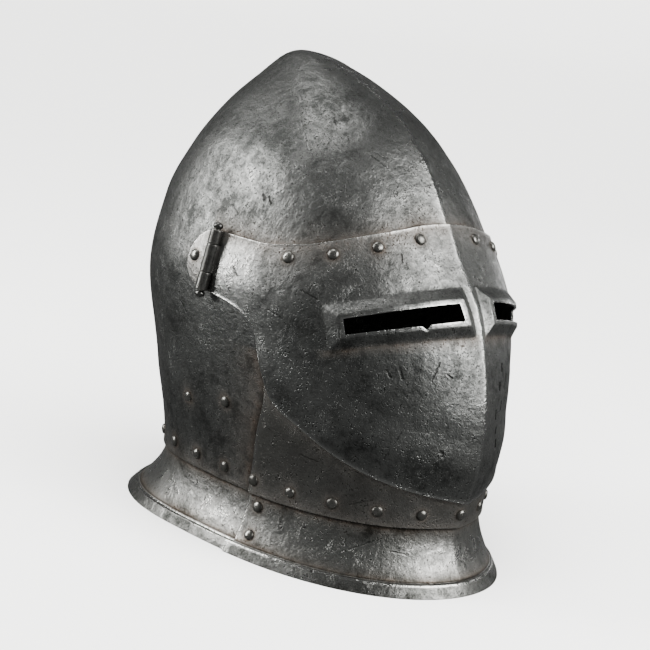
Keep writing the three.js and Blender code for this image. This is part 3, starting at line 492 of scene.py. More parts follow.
def show(name, bm, body, slot, stands_for, wear_and_highlight=None, rust_and_shade=None):
    """Turns a bmesh in metres into a finished piece of the helmet."""
    mesh = bpy.data.meshes.new(name)
    bm.to_mesh(mesh)
    bm.free()
    for label, values in (("wear_and_highlight", wear_and_highlight), ("rust_and_shade", rust_and_shade)):
        data = mesh.attributes.new(label, "FLOAT", "POINT").data
        if values is not None:
            data.foreach_set("value", np.asarray(values, np.float32))
    for face in mesh.polygons:
        face.use_smooth = True
    piece = bpy.data.objects.new(name, mesh)
    bpy.context.collection.objects.link(piece)
    mesh.materials.append(STEELS[slot])
    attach(piece, body)
    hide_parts(*stands_for)
    return piece


def round_edges(piece, wall=None, width=0.7):
    """Gives a sheet its thickness and takes the sharpness off its edges."""
    if wall:
        thick = piece.modifiers.new("thickness", "SOLIDIFY")
        thick.thickness = wall * MM
        thick.offset = -1
        thick.use_even_offset = True
        thick.use_quality_normals = True
    soft = piece.modifiers.new("soft edges", "BEVEL")
    soft.width = width * MM
    soft.segments = 3
    soft.limit_method = "ANGLE"
    soft.angle_limit = math.radians(58)
    soft.use_clamp_overlap = True


def grid_of(bm, columns, rows):
    """A flat grid in the bmesh; returns its new vertices with their column and row numbers."""
    before = len(bm.verts)
    bmesh.ops.create_grid(bm, x_segments=columns, y_segments=rows, size=1)
    bm.verts.ensure_lookup_table()
    made = bm.verts[before:]
    flat = np.array([v.co[:2] for v in made])
    column = np.rint((flat[:, 0] + 1) / 2 * columns).astype(int)
    row = np.rint((flat[:, 1] + 1) / 2 * rows).astype(int)
    return made, column, row


def move_to(verts, points):
    for vert, point in zip(verts, place_in_frame(points)):
        vert.co = point


def face_out(bm):
    """Turns all of a sheet's faces to the outer side of the helmet."""
    bmesh.ops.recalc_face_normals(bm, faces=bm.faces)
    bm.faces.ensure_lookup_table()
    middle = Vector(place_in_frame((0, 10, 170)))
    outward = sum(face.normal.dot((face.calc_center_median() - middle).normalized())
                  for face in bm.faces)
    if outward < 0:
        bmesh.ops.reverse_faces(bm, faces=bm.faces)


def drop_cells(bm, verts, column, row, leave_out):
    """Deletes the grid faces whose lowest column and row leave_out names."""
    number = {v: (c, r) for v, c, r in zip(verts, column, row)}
    gone = []
    for face in bm.faces:
        corners = [number.get(v) for v in face.verts]
        if None in corners:
            continue
        if leave_out(min(c for c, _ in corners), min(r for _, r in corners)):
            gone.append(face)
    bmesh.ops.delete(bm, geom=gone, context="FACES")


def back_in_flat(points):
    """Points in the body's own millimetres, from vertices in metres."""
    return np.asarray(points) / MM - SHIFT


def near_points(points, marks, reach):
    """1 beside a mark, fading to 0 over a reach, for each point."""
    away = np.full(len(points), 1e9)
    for mark in marks:
        away = np.minimum(away, np.linalg.norm(points - mark, axis=1))
    return np.exp(-np.maximum(away - HEAD_RADIUS, 0) / reach)


# Where the rivets sit: name, turn, height, head's seat and tail's seat off the body, and body
even = even_turns(NECK_RIVET_LEVEL, NECK_RIVETS // 2)
rivets = []
half_ring = NECK_RIVETS // 2
for n in range(1 - half_ring, half_ring + 1):
    turn = math.copysign(even[abs(n)], n) if n else 0.0
    seat = BEVOR_LIFT if abs(turn) < SEAM_TURN else SKULL_LIFT
    behind = -WALL if abs(turn) < OPENING_TURN else COLLAR_BACK_LIFT - WALL
    rivets.append((f"neck_rivet_{n + half_ring:02d}", turn, NECK_RIVET_LEVEL, seat, behind, "helmet"))
for side, side_name in ((1, "right"), (-1, "left")):
    for n, turn in enumerate(VISOR_RIVET_TURNS, 1):
        z = float(visor_top_at(turn)) - VISOR_RIVET_INSET
        seat = float(visor_lift_at(turn, z))
        rivets.append((f"visor_rivet_{side_name}_{n}", side * turn, z, seat, None, "visor"))
    for n, (turn, share) in enumerate(SIDE_RIVETS, 1):
        rivets.append((f"side_rivet_{side_name}_{n}", side * turn, height_of(share), 0, -WALL, "helmet"))
    for n, share in enumerate(SEAM_RIVET_LEVELS, 1):
        rivets.append((f"seam_rivet_{side_name}_{n}", side * SEAM_RIVET_TURN, share * NECK, 0,
                       COLLAR_BACK_LIFT - WALL, "helmet"))
leaf_rivet_turn = float(turn_at(HINGE_BACK + KNUCKLE_RADIUS + LEAF_RADIUS * 0.66, hinge_middle))
rivets.append(("leaf_rivet", leaf_rivet_turn, hinge_middle, LEAF_LIFT, -WALL, "helmet"))
rivet_marks = np.array([lifted(turn, z, seat) for _, turn, z, seat, _, _ in rivets])


def piece_masks(bm, near_edge):
    """Wear with painted highlights, and rust with painted shade, for each vertex: near_edge gives both
    for a plate's own edges and ridge, and the rivets add rings of rust and painted shade.
    """
    points = back_in_flat([v.co for v in bm.verts])
    turn = points_turn(points)
    wear_and_highlight, rust_and_shade = near_edge(turn, points)
    # Each rivet adds a ring of rust and painted shade round its head
    rust_and_shade = np.maximum(rust_and_shade, RIVET_RUST_AND_SHADE * near_points(points, rivet_marks, RIVET_RUST_AND_SHADE_REACH))
    return np.clip(wear_and_highlight, 0, 1), np.clip(rust_and_shade, 0, 1)


def points_turn(points):
    """The turn of points on or just off the body."""
    x, y, z = points[:, 0], points[:, 1], np.clip(points[:, 2], 0, LEVELS[-1])
    middle = middle_at(z)
    reach = np.where(y < middle, middle - front_at(z), back_at(z) - middle)
    away = np.degrees(np.arccos(np.clip(np.abs(y - middle) / reach, 0, 1)))
    turn = np.where(y < middle, away, 180 - away)
    return -np.sign(x) * turn


# Skull

def make_skull():
    """The skull: a grid from the brow round to the nape, closed in rings over the peak, and a strip
    on each side that reaches down to the neck."""
    bm = bmesh.new()
    front = OPENING_TURN * np.linspace(0, 1, 1 + 56) ** 1.3
    side = even_turns(NECK + 120, 96, OPENING_TURN, 180)
    half = np.concatenate([front, side[1:]])
    turns = np.concatenate([-half[:0:-1], half])
    columns = len(turns) - 1
    edge = visor_top_at(np.minimum(np.abs(turns), OPENING_TURN)) - PLATE_LAP
    body_rows, dome_rows = 66, 11
    dome_level = height_of(DOME_SHARE)
    verts, column, row = grid_of(bm, columns, body_rows + dome_rows)
    share = 1 - (1 - np.minimum(row / body_rows, 1)) ** 1.45
    z = edge[column] + (dome_level - edge[column]) * share
    points = on_body(turns[column], z)
    peak = np.array([0, PEAK_BACK * BACK_REACH, PEAK])
    reach = 1 - np.maximum(row - body_rows, 0) / dome_rows
    in_dome = row > body_rows
    points[in_dome, :2] = (peak + (points - peak) * reach[:, None])[in_dome, :2]
    points[in_dome, 2] = (PEAK - (PEAK - dome_level) * reach ** 2.2)[in_dome]
    uneven = hammered(points) * np.clip(reach * 2, 0, 1)
    points += np.where(in_dome[:, None], [0, 0, 1], outwards(turns[column], z)) * uneven[:, None]
    move_to(verts, dented(points, turns[column]))

    rear = np.flatnonzero(np.abs(turns) >= OPENING_TURN - 1e-6)
    for group in (rear[turns[rear] > 0], rear[turns[rear] < 0]):
        part_turns, part_edge = turns[group], edge[group]
        verts, column, row = grid_of(bm, len(group) - 1, 62)
        z = NECK + (part_edge[column] - NECK) * row / 62
        points = on_body(part_turns[column], z)
        points += outwards(part_turns[column], z) * hammered(points)[:, None]
        move_to(verts, dented(points, part_turns[column]))
    bmesh.ops.remove_doubles(bm, verts=bm.verts, dist=2e-5)
    face_out(bm)

    def near_edge(turn, points):
        x, z = np.abs(points[:, 0]), points[:, 2]
        forward = np.abs(turn) < 85
        # Along the ridge, bright wear that is partly a painted highlight
        crease = np.where(forward, 0.55 * np.exp(-x / 1.6) + 0.3 * np.exp(-x / 12), 0)
        # Painted shade along the laps: over the visor's top edge and beside the bevor's rear edge the
        # mask runs high enough to darken the steel; at the neck it gives rust
        above = np.maximum(z - visor_top_at(turn), 0)
        over_visor = np.where(forward & (z > visor_top_at(turn) - 3),
                              0.75 * np.exp(-above / 6) + 0.4 * np.exp(-above / 1.2), 0)
        neck = np.exp(-np.maximum(z - NECK, 0) / 9)
        past_bevor = np.maximum(np.abs(turn) - bevor_rear_turn((z - NECK) / SKULL_HEIGHT), 0)
        beside_bevor = np.where((z < height_of(0.34)) & (np.abs(turn) < 95), np.exp(-past_bevor / 5), 0)
        rust_and_shade = np.maximum(np.maximum(0.8 * over_visor, 0.5 * neck), 0.95 * beside_bevor)
        return crease + 0.3 * np.exp(-np.maximum(z - NECK, 0) / 1.5), rust_and_shade

    wear_and_highlight, rust_and_shade = piece_masks(bm, near_edge)
    piece = show("helmet_skull", bm, "helmet", "skull_steel", ["skull"], wear_and_highlight, rust_and_shade)
    round_edges(piece, WALL)


# Dents in the outer faces: turn, height share, reach along and up in mm, depth in mm
DENTS = [
    (88, 0.62, 3.2, 7, 0.7), (84, 0.655, 2.2, 5, 0.6), (30, 0.755, 6, 4, 0.5), (42, 0.86, 5, 5, 0.5),
    (55, 0.83, 2.2, 14, 0.4), (-40, 0.8, 7, 9, 0.5), (150, 0.6, 8, 6, 0.6), (-110, 0.45, 6, 10, 0.5),
    (-150, 0.75, 7, 7, 0.5), (120, 0.35, 9, 6, 0.5), (36, 0.33, 5, 6, 0.5), (26, 0.36, 4, 5, 0.5),
    (24, 0.15, 3.4, 3.4, 0.6), (-32, 0.36, 7, 5, 0.5), (50, 0.46, 6, 7, 0.35), (-52, 0.3, 6, 8, 0.45),
]


def dented(points, turn):
    """Points with small dents beaten into them."""
    moved = np.array(points)
    for at, share, along, up, depth in DENTS:
        z = height_of(share)
        middle, out = on_body(at, z), outwards(at, z)
        rise = unit(on_body(at, z + 1) - on_body(at, z - 1))
        across = np.cross(rise, out)
        away = moved - middle
        spread = ((away @ across) / along) ** 2 + ((away @ rise) / up) ** 2
        moved -= out * (depth * np.exp(-spread) * (np.abs(away @ out) < 25))[:, None]
    return moved


make_skull()


# Bevor

def make_bevor():
    """The bevor: a grid round the chin, whose ends lean with its rear edges."""
    bm = bmesh.new()
    columns, rows = 212, 46
    verts, column, row = grid_of(bm, columns, rows)
    out = 1 - (1 - np.abs(column / columns * 2 - 1)) ** 1.25
    side = np.sign(column / columns * 2 - 1)
    base = np.interp(out, np.linspace(0, 1, 107), even_turns(NECK_RIVET_LEVEL, 106, 0, SEAM_TURN))
    lean = np.clip((base - 58) / (SEAM_TURN - 58), 0, 1)
    top = bevor_top_at(base + (BEVOR_TOP_TURN - base) * lean)
    z = NECK + (top - NECK) * row / rows
    rear = bevor_rear_turn((z - NECK) / SKULL_HEIGHT)
    turn = side * (base + (rear - SEAM_TURN) * lean)
    to_rear = (rear - np.abs(turn)) * REAR_EDGE_ARC
    lip = 0.3 * np.exp(-(np.maximum(to_rear, 0) / 1.2) ** 2)
    points = lifted(turn, z, BEVOR_LIFT + lip)
    points += outwards(turn, z) * hammered(on_body(turn, z))[:, None]
    move_to(verts, points)
    face_out(bm)

    def near_edge(turn, points):
        z = points[:, 2]
        away = np.abs(turn)
        rear = bevor_rear_turn((z - NECK) / SKULL_HEIGHT)
        to_rear = (rear - away) * REAR_EDGE_ARC
        # Bright along the rear edge, the foot and the ridge: wear, with the rear edge's line partly a
        # painted highlight
        edge = np.maximum(1.4 * np.exp(-(np.maximum(to_rear, 0) / 2) ** 2),
                          0.6 * np.exp(-(z - NECK) / 1.2))
        ridge = 0.45 * np.exp(-np.abs(points[:, 0]) / 2.5)
        under_visor = np.exp(-np.maximum(visor_bottom_at(np.minimum(away, BEVOR_TOP_TURN)) - z, 0) / 6)
        neck = np.exp(-np.maximum(z - NECK, 0) / 7)
        return np.maximum(edge, ridge), np.maximum(0.5 * under_visor, 0.5 * neck)

    wear_and_highlight, rust_and_shade = piece_masks(bm, near_edge)
    piece = show("bevor_plate", bm, "helmet", "bevor_steel", ["bevor"], wear_and_highlight, rust_and_shade)
    round_edges(piece, WALL)


make_bevor()


# Collar

def make_collar(name, stands_for, turn_of, columns, lift, top_at, seam_wear_and_highlight):
    """A flared plate whose lower edge is turned up into a flat band with rounded ends."""
    bm = bmesh.new()
    band_rows, rows = 20, 66
    verts, column, row = grid_of(bm, columns, rows)
    along = column / columns
    top = top_at(turn_of(along, np.full(len(along), NECK)))
    in_band = row <= band_rows
    z = np.where(in_band, (RIM_BAND + 0.9) * row / band_rows,
                 RIM_BAND + 0.9 + (top - RIM_BAND - 0.9) * (row - band_rows) / (rows - band_rows))
    turn = turn_of(along, z)
    shoulder = smoothstep((RIM_BAND + 0.5 - z) / 1.1)
    crown = 0.35 * np.sqrt(np.clip(1 - ((z - RIM_BAND / 2) / (RIM_BAND / 2 + 0.4)) ** 2, 0, 1))
    proud = shoulder * (RIM_BAND_PROUD - 0.1 + crown)
    points = lifted(turn, np.maximum(z, 0.01), lift + proud)
    points += outwards(turn, z) * (0.8 * hammered(on_body(turn, z)))[:, None]
    slope = unit(on_body(turn, z + 2) - on_body(turn, z + 1))
    # The lowest rows are spread evenly between the ground and the first row above them
    foot_rows = 5
    above = np.zeros(columns + 1)
    above[column[row == foot_rows]] = points[row == foot_rows, 2]
    wanted = above[column] * row / foot_rows
    points = np.where((row < foot_rows)[:, None],
                      points + slope * ((wanted - points[:, 2]) / slope[:, 2])[:, None], points)
    move_to(verts, points)
    face_out(bm)
    outer = list(bm.verts)

    def near_edge(turn, points):
        z = points[:, 2]
        # A bright line along the band's top, partly wear and partly a painted highlight, with the band's
        # face below it a little darker
        top_of_band = 1.1 * np.exp(-np.abs(z - RIM_BAND + 0.6) / 0.55) - 0.15 * (z < RIM_BAND - 1.4)
        flare = 0.25 * smoothstep((NECK - z) / 20) * smoothstep((z - RIM_BAND - 2) / 8)
        # Painted shade: the groove over the band, and a dark line under the bevor's and skull's lower
        # edge
        above = np.maximum(z - RIM_BAND - 0.6, 0)
        over_band = np.where(z > RIM_BAND + 0.5, 0.6 * np.exp(-above / 4) + 0.6 * np.exp(-above / 1.3), 0)
        under_neck = np.exp(-np.maximum(np.abs(z - NECK) - 1, 0) / 3.5)
        seam = seam_wear_and_highlight(turn, z)
        wear_and_highlight = np.maximum(np.maximum(top_of_band, flare * (z > RIM_BAND)), seam)
        return wear_and_highlight, np.maximum(over_band, under_neck)

    points = back_in_flat([v.co for v in outer])
    wear_and_highlight, rust_and_shade = near_edge(points_turn(points), points)
    # Each rivet adds a ring of rust and painted shade round its head
    rust_and_shade = np.maximum(rust_and_shade, 0.7 * near_points(points, rivet_marks, 3))
    count = len(outer)
    bmesh.ops.solidify(bm, geom=list(bm.faces), thickness=WALL * MM)
    bm.verts.ensure_lookup_table()
    for vert in bm.verts:
        vert.co.z = max(vert.co.z, 0)
    added = len(bm.verts) - count
    wear_and_highlight = np.concatenate([wear_and_highlight, np.zeros(added)])
    rust_and_shade = np.concatenate([rust_and_shade, np.full(added, 0.4)])
    bmesh.ops.recalc_face_normals(bm, faces=bm.faces)
    piece = show(name, bm, "helmet", "collar_steel", [stands_for],
                 np.clip(wear_and_highlight, 0, 1), np.clip(rust_and_shade, 0, 1))
    round_edges(piece)


BAND_END = 2.3  # degrees by which the front band runs on over the back one


def front_turns(along, z):
    """Turns across the front plate, whose band runs on a little at both ends."""
    out = np.sign(along * 2 - 1) * (1 - (1 - np.abs(along * 2 - 1)) ** 1.25)
    base = np.interp(np.abs(out), np.linspace(0, 1, 107), even_turns(NECK_RIVET_LEVEL, 106, 0, SEAM_TURN))
    in_band = np.clip(1 - ((z - RIM_BAND / 2) / (RIM_BAND / 2 + 0.5)) ** 2, 0, 1) ** 0.35
    past = BAND_END * in_band * np.clip((np.abs(out) - 0.9) / 0.1, 0, 1)
    return np.sign(out) * (base + past)


def back_turns(along, z):
    """Turns across the back plate, from one seam round to the other."""
    start = SEAM_TURN - 9
    side = even_turns(NECK_RIVET_LEVEL, 100, start, 180)
    all_turns = np.concatenate([side, 360 - side[-2::-1]])
    return np.interp(along, np.linspace(0, 1, len(all_turns)), all_turns)


def front_top(turn):
    """Z of the front plate's top: a flange behind the bevor, and lower beside the skull."""
    return np.where(np.abs(turn) < OPENING_TURN - 2, NECK + NECK_FLANGE, NECK - LAP_GAP)


# The front plate's ends carry a bright line along the seam, partly wear and partly a painted highlight
make_collar("collar_front_plate", "collar_front", front_turns, 212, 0, front_top,
            lambda turn, z: (1.1 * np.exp(-np.maximum(SEAM_TURN - np.abs(turn), 0) * 1.9 / 1.1)
                             * np.where(z > RIM_BAND + 1, 1, 0.2)))
make_collar("collar_back_plate", "collar_back", back_turns, 200, COLLAR_BACK_LIFT,
            lambda turn: np.full(len(turn), NECK + NECK_FLANGE), lambda turn, z: 0 * z)


# Visor

def make_visor():
    """The visor: one grid whose lines follow the sights' frames, with the sights, the breaths and the
    latch's notch left out of it."""
    bm = bmesh.new()
    # Turns at which the columns change their step, and the cells up to each
    stops = [(0, 0), (BRIDGE_TURN, 6), (LIP_INNER, 8), (SLOT_INNER, 4), (SLOT_OUTER, 66),
             (LIP_OUTER, 4), (FRAME_END, 8), (VISOR_GRID_TURN, 56)]
    half = [0.0]
    for (fro, _), (to, cells) in zip(stops, stops[1:]):
        half += list(even_turns(NECK + 150, cells, fro, to)[1:])
    half = np.array(half)
    turns = np.concatenate([-half[:0:-1], half])
    columns = len(turns) - 1
    middle = len(half) - 1
    # Cells up the visor: below the frame, its lower bevel and lip, the slot, the upper lip and bevel,
    # and above the frame
    row_cells = [84, 8, 4, 8, 4, 8, 32]
    lower_power, upper_power = 1.25, 1.5
    starts = np.concatenate([[0], np.cumsum(row_cells)])
    rows = int(starts[-1])
    verts, column, row = grid_of(bm, columns, rows)

    nominal = turns[column]
    away = np.abs(nominal)
    end_share = np.clip((away - 60) / (VISOR_GRID_TURN - 60), 0, 1)

    def level_of(turn):
        bottom, top, slot = visor_bottom_at(turn), visor_top_at(turn), slot_level_at(turn)
        lines = [bottom, slot - SLOT_GAP / 2 - FRAME_LIP - FRAME_BEVEL, slot - SLOT_GAP / 2 - FRAME_LIP,
                 slot - SLOT_GAP / 2, slot + SLOT_GAP / 2, slot + SLOT_GAP / 2 + FRAME_LIP,
                 slot + SLOT_GAP / 2 + FRAME_LIP + FRAME_BEVEL, top]
        structured = np.zeros(len(row))
        for k in range(len(row_cells)):
            inside = (row >= starts[k]) & (row <= starts[k + 1])
            share = (row - starts[k]) / row_cells[k]
            if k == 0:
                share = share ** lower_power
            if k == len(row_cells) - 1:
                share = 1 - (1 - share) ** upper_power
            value = lines[k] + (lines[k + 1] - lines[k]) * share
            structured = np.where(inside, value, structured)
        near_ends = row / rows - 0.1 * np.sin(2 * math.pi * row / rows) / math.pi
        even_rows = bottom + (top - bottom) * near_ends
        return structured + (even_rows - structured) * smoothstep((np.abs(turn) - 52) / 14)

    turn = nominal
    for _ in range(3):
        z = level_of(turn)
        end = turn_at(HINGE_BACK - FIT, z)
        turn = np.sign(nominal) * (away + (end - VISOR_GRID_TURN) * end_share)
    z = level_of(turn)

    across = np.interp(away, [BRIDGE_TURN, LIP_INNER, LIP_OUTER, FRAME_END], [0, 1, 1, 0])
    up = np.interp(row, [starts[1], starts[2], starts[5], starts[6]], [0, 1, 1, 0])
    frame_share = np.minimum(across, up)
    # The lip on the wearer's right is nicked by a small V under the slot
    nick = np.clip(1 - np.abs(nominal - 21.2) / 1.5, 0, 1) * np.interp(
        row, [starts[2] - 4, starts[2], starts[3], starts[3] + 0.5], [0, 0.7, 1, 0])
    z = z - 2.6 * nick
    to_edge = np.minimum(visor_top_at(turn) - z, z - visor_bottom_at(turn))
    lip = 0.35 * np.exp(-(np.maximum(to_edge, 0) / 1.2) ** 2)
    lift = visor_lift_at(turn, z) + FRAME_PROUD * frame_share ** 1.12 - 0.8 * nick + lip
    points = lifted(turn, z, lift)
    uneven = hammered(on_body(turn, z)) * (1 - 0.5 * (frame_share > 0.9))
    points += outwards(turn, z) * uneven[:, None]
    points = dented(points, turn)
    move_to(verts, points)

    first_slot = sum(cells for _, cells in stops[:4])
    slot_cells = range(first_slot, first_slot + stops[4][1])
    breath_half = 3.2
    breath_cells = []
    for at, share in BREATHS:
        k = int(np.argmin(np.abs(half - abs(at))))
        wanted = float(height_of(share))
        foot_z = float(visor_bottom_at(at))
        frame_z = float(slot_level_at(at)) - SLOT_GAP / 2 - FRAME_LIP - FRAME_BEVEL
        up_share = (np.arange(row_cells[0] + 1) / row_cells[0]) ** lower_power
        column_z = foot_z + (frame_z - foot_z) * up_share
        low = int(np.argmin(np.abs(column_z - wanted + breath_half)))
        high = int(np.argmin(np.abs(column_z - wanted - breath_half)))
        breath_cells.append((middle - k - 1, middle - k, low, max(high - 1, low + 2)))

    def leave_out(c, r):
        n = c - middle if c >= middle else middle - 1 - c
        if n in slot_cells and starts[3] <= r < starts[4]:
            return True
        if any(c0 <= c <= c1 and r0 <= r <= r1 for c0, c1, r0, r1 in breath_cells):
            return True
        return c < latch_columns and latch_rows[0] <= r < latch_rows[1]

    notch_half = 2.4
    left_z = np.sort(z[column == 0])
    latch_rows = [int(np.argmin(np.abs(left_z - hinge_middle - off)))
                  for off in (-notch_half, notch_half)]
    row_at_latch = row == (latch_rows[0] + latch_rows[1]) // 2
    latch_columns = int((turn[row_at_latch] < LATCH_TURN + 1.6).sum())
    drop_cells(bm, verts, column, row, leave_out)
    face_out(bm)

    index = {v: k for k, v in enumerate(verts)}
    loose = [v for v in bm.verts if not v.link_faces]
    bmesh.ops.delete(bm, geom=loose, context="VERTS")
    kept = [index[v] for v in verts if v.is_valid]

    # Bright where hands and the skull rub it, and along its edges, ridge and slots, where the bright
    # lines are partly painted highlights; rust along the laps and the frames' foot, with painted shade as
    # well round the rivets
    x = np.abs(points[:, 0])
    top_edge = 1.2 * np.exp(-np.maximum(visor_top_at(turn) - z, 0) / 1.3)
    bottom_edge = 1.3 * np.exp(-np.maximum(z - visor_bottom_at(turn), 0) / 1.3)
    ridge = 0.8 * np.exp(-x / 1.5) + 0.06 * np.exp(-x / 9)
    ridge *= 1 - 0.5 * smoothstep((height_of(0.3) - z) / 50)
    lip_turns = [LIP_INNER - 0.3, SLOT_INNER, SLOT_OUTER, LIP_OUTER + 0.3]
    lip = np.minimum(np.interp(away, lip_turns, [0, 1, 1, 0]),
                     np.interp(row, [starts[2], starts[3], starts[4], starts[5]], [0, 1, 1, 0]))
    brow = 0.2 * np.exp(-((x - 22) / 22) ** 2) * smoothstep((z - height_of(0.53)) / 10)
    tab = 0.35 * smoothstep((away - 62) / 12)
    slot_turns = [SLOT_INNER - 1.2, SLOT_INNER - 0.1, SLOT_OUTER + 0.1, SLOT_OUTER + 1]
    slot_rows = [starts[3] - 2, starts[3], starts[4], starts[4] + 2]
    slot_edge = np.minimum(np.interp(away, slot_turns, [0, 1, 1, 0]),
                           np.interp(row, slot_rows, [0, 1, 1, 0]))
    wear_and_highlight = np.max([0.9 * top_edge, 0.95 * bottom_edge, ridge, 0.3 * lip, 0.95 * slot_edge, brow, tab],
                  axis=0)
    foot = np.minimum(np.interp(away, [0, BRIDGE_TURN, FRAME_END, FRAME_END + 4], [0, 1, 1, 0]),
                      np.interp(row, [starts[1] - 5, starts[1], starts[1] + 3], [0, 1, 0]))
    rust_and_shade = np.max([0.5 * np.exp(-np.maximum(visor_top_at(turn) - z - 2, 0) / 9), 0.6 * foot,
                    RIVET_RUST_AND_SHADE * near_points(points, rivet_marks, RIVET_RUST_AND_SHADE_REACH)], axis=0)
    piece = show("visor_plate", bm, "visor", "visor_steel", ["visor"],
                 np.clip(wear_and_highlight, 0, 1)[kept], np.clip(rust_and_shade, 0, 1)[kept])
    round_edges(piece, WALL)


make_visor()


# Turned pieces: hinge, rivets and latch

def turned(profile, steps, origin, direction):
    """A bmesh spun from a profile of radius and height, standing along a direction."""
    bm = bmesh.new()
    verts = [bm.verts.new((r * MM, 0, h * MM)) for r, h in profile]
    edges = [bm.edges.new(pair) for pair in zip(verts, verts[1:])]
    bmesh.ops.spin(bm, geom=verts + edges, cent=(0, 0, 0), axis=(0, 0, 1), angle=2 * math.pi, steps=steps,
                   use_merge=True, use_duplicate=False)
    bmesh.ops.remove_doubles(bm, verts=bm.verts, dist=1e-6)
    bmesh.ops.recalc_face_normals(bm, faces=bm.faces)
    turn = Vector((0, 0, 1)).rotation_difference(Vector(direction)).to_matrix().to_4x4()
    place = Matrix.Translation(Vector(place_in_frame(origin)))
    bmesh.ops.transform(bm, matrix=place @ turn, verts=bm.verts)
    return bm


def dome(radius, low, high, steps=7, squareness=2.3):
    """Half a domed head, from its middle to its rim."""
    points = []
    for k in range(steps + 1):
        r = radius * math.sin(math.pi / 2 * k / steps)
        rise = max(0, 1 - (r / radius) ** squareness) ** (1 / squareness)
        points.append((r, low + (high - low) * rise))
    points[0] = (0, high)
    return points


def make_rivets():
    """Headed rivets, each a little different in size and hammered by hand."""
    for number, (name, turn, z, seat, behind, body) in enumerate(rivets):
        origin, out = on_body(turn, z), outwards(turn, z)
        size = 1 + 0.045 * math.sin(number * 2.4)
        seat -= 0.12
        head = dome(HEAD_RADIUS * size, seat, seat + HEAD_HEIGHT * (1 + 0.06 * math.cos(number * 1.7)))
        if behind is None:
            tail = [(SHANK_RADIUS, seat), (SHANK_RADIUS, seat - WALL + 0.4), (0, seat - WALL + 0.4)]
        else:
            tail = [(SHANK_RADIUS, seat), (SHANK_RADIUS, behind), (TAIL_RADIUS, behind),
                    (TAIL_RADIUS * 0.8, behind - 0.9), (0, behind - 1.2)]
        bm = turned(head + tail, 22, origin, out)
        wobble = Vector((number * 1.3, number * 0.7, 0))
        for vert in bm.verts:
            vert.co += Vector(out) * 0.00016 * noise.noise(vert.co / 0.0028 + wobble)
        heights = (back_in_flat([v.co for v in bm.verts]) - origin) @ out - seat
        wear_and_highlight = np.clip((heights - 1.4) / 1.1, 0, 1) * 0.4
        # Painted shade with rust round the foot of the head, where it meets the plate
        rust_and_shade = np.exp(-np.maximum(heights, 0) / 0.5) * 0.8
        piece = show(f"{name}_head", bm, body, "rivet_steel", [name], wear_and_highlight, rust_and_shade)
        round_edges(piece, width=0.2)


make_rivets()


def hinge_piece(name, low, high, side, body, stands_for):
    """A knuckle rolled from sheet, with the root that it is rolled from."""
    edge = 0.45
    rings = [(PIN_RADIUS + 0.15, low), (KNUCKLE_RADIUS - edge - 0.2, low), (KNUCKLE_RADIUS - edge, low)]
    rings += [(KNUCKLE_RADIUS, low + up) for up in (edge, edge + 0.25, 2)]
    rings += [(r, low + high - h) for r, h in reversed(rings)]
    bm = turned(rings, 40, hinge_origin, hinge_axis)
    across = np.cross(hinge_out, hinge_axis)
    root = bmesh.ops.create_cube(bm, size=1)["verts"]
    depth = KNUCKLE_RADIUS - 0.3
    size = np.array([KNUCKLE_RADIUS, high - low, depth])
    offset = across * side * KNUCKLE_RADIUS / 2 + hinge_axis * (low + high) / 2 - hinge_out * depth / 2
    turn = Matrix(np.array([across, hinge_axis, hinge_out]).T.tolist()).to_4x4()
    middle = Matrix.Translation(Vector(place_in_frame(hinge_origin + offset)))
    bmesh.ops.transform(bm, matrix=middle @ turn @ Matrix.Diagonal((*(size * MM), 1)), verts=root)
    points = back_in_flat([v.co for v in bm.verts])
    along = np.minimum(np.abs((points - hinge_origin) @ hinge_axis - low),
                       np.abs((points - hinge_origin) @ hinge_axis - high))
    piece = show(name, bm, body, "hinge_steel", stands_for,
                 0.5 * np.exp(-along / 0.8), 0.3 * np.exp(-along / 2))
    round_edges(piece, width=0.2)


low_end, high_end = -HINGE_LENGTH / 2, HINGE_LENGTH / 2
middle_low, middle_high = -0.2 * HINGE_LENGTH, 0.26 * HINGE_LENGTH
hinge_piece("hinge_knuckle_low", low_end, middle_low - FIT, 1, "helmet", [])
hinge_piece("hinge_knuckle_high", middle_high + FIT, high_end, 1, "helmet", [])
hinge_piece("visor_knuckle", middle_low, middle_high, -1, "visor", [])

shoulder = HINGE_LENGTH / 2 + 0.1


def ball(side):
    """The hinge pin's ball end, from its neck to its tip."""
    angles = [math.pi * k / 14 for k in range(3, 15)]
    return [(PIN_BALL_RADIUS * math.sin(a), side * (shoulder + PIN_BALL_TALL / 2 * (1 - math.cos(a))))
            for a in angles]


pin_profile = [(0, ball(-1)[-1][1])] + ball(-1)[-2::-1]
pin_profile += [(PIN_RADIUS, -shoulder), (PIN_RADIUS, shoulder)]
pin_profile += ball(1)[:-1] + [(0, ball(1)[-1][1])]
show("hinge_pin_balls", turned(pin_profile, 36, hinge_origin, hinge_axis), "helmet", "hinge_steel",
     ["hinge_pin"])


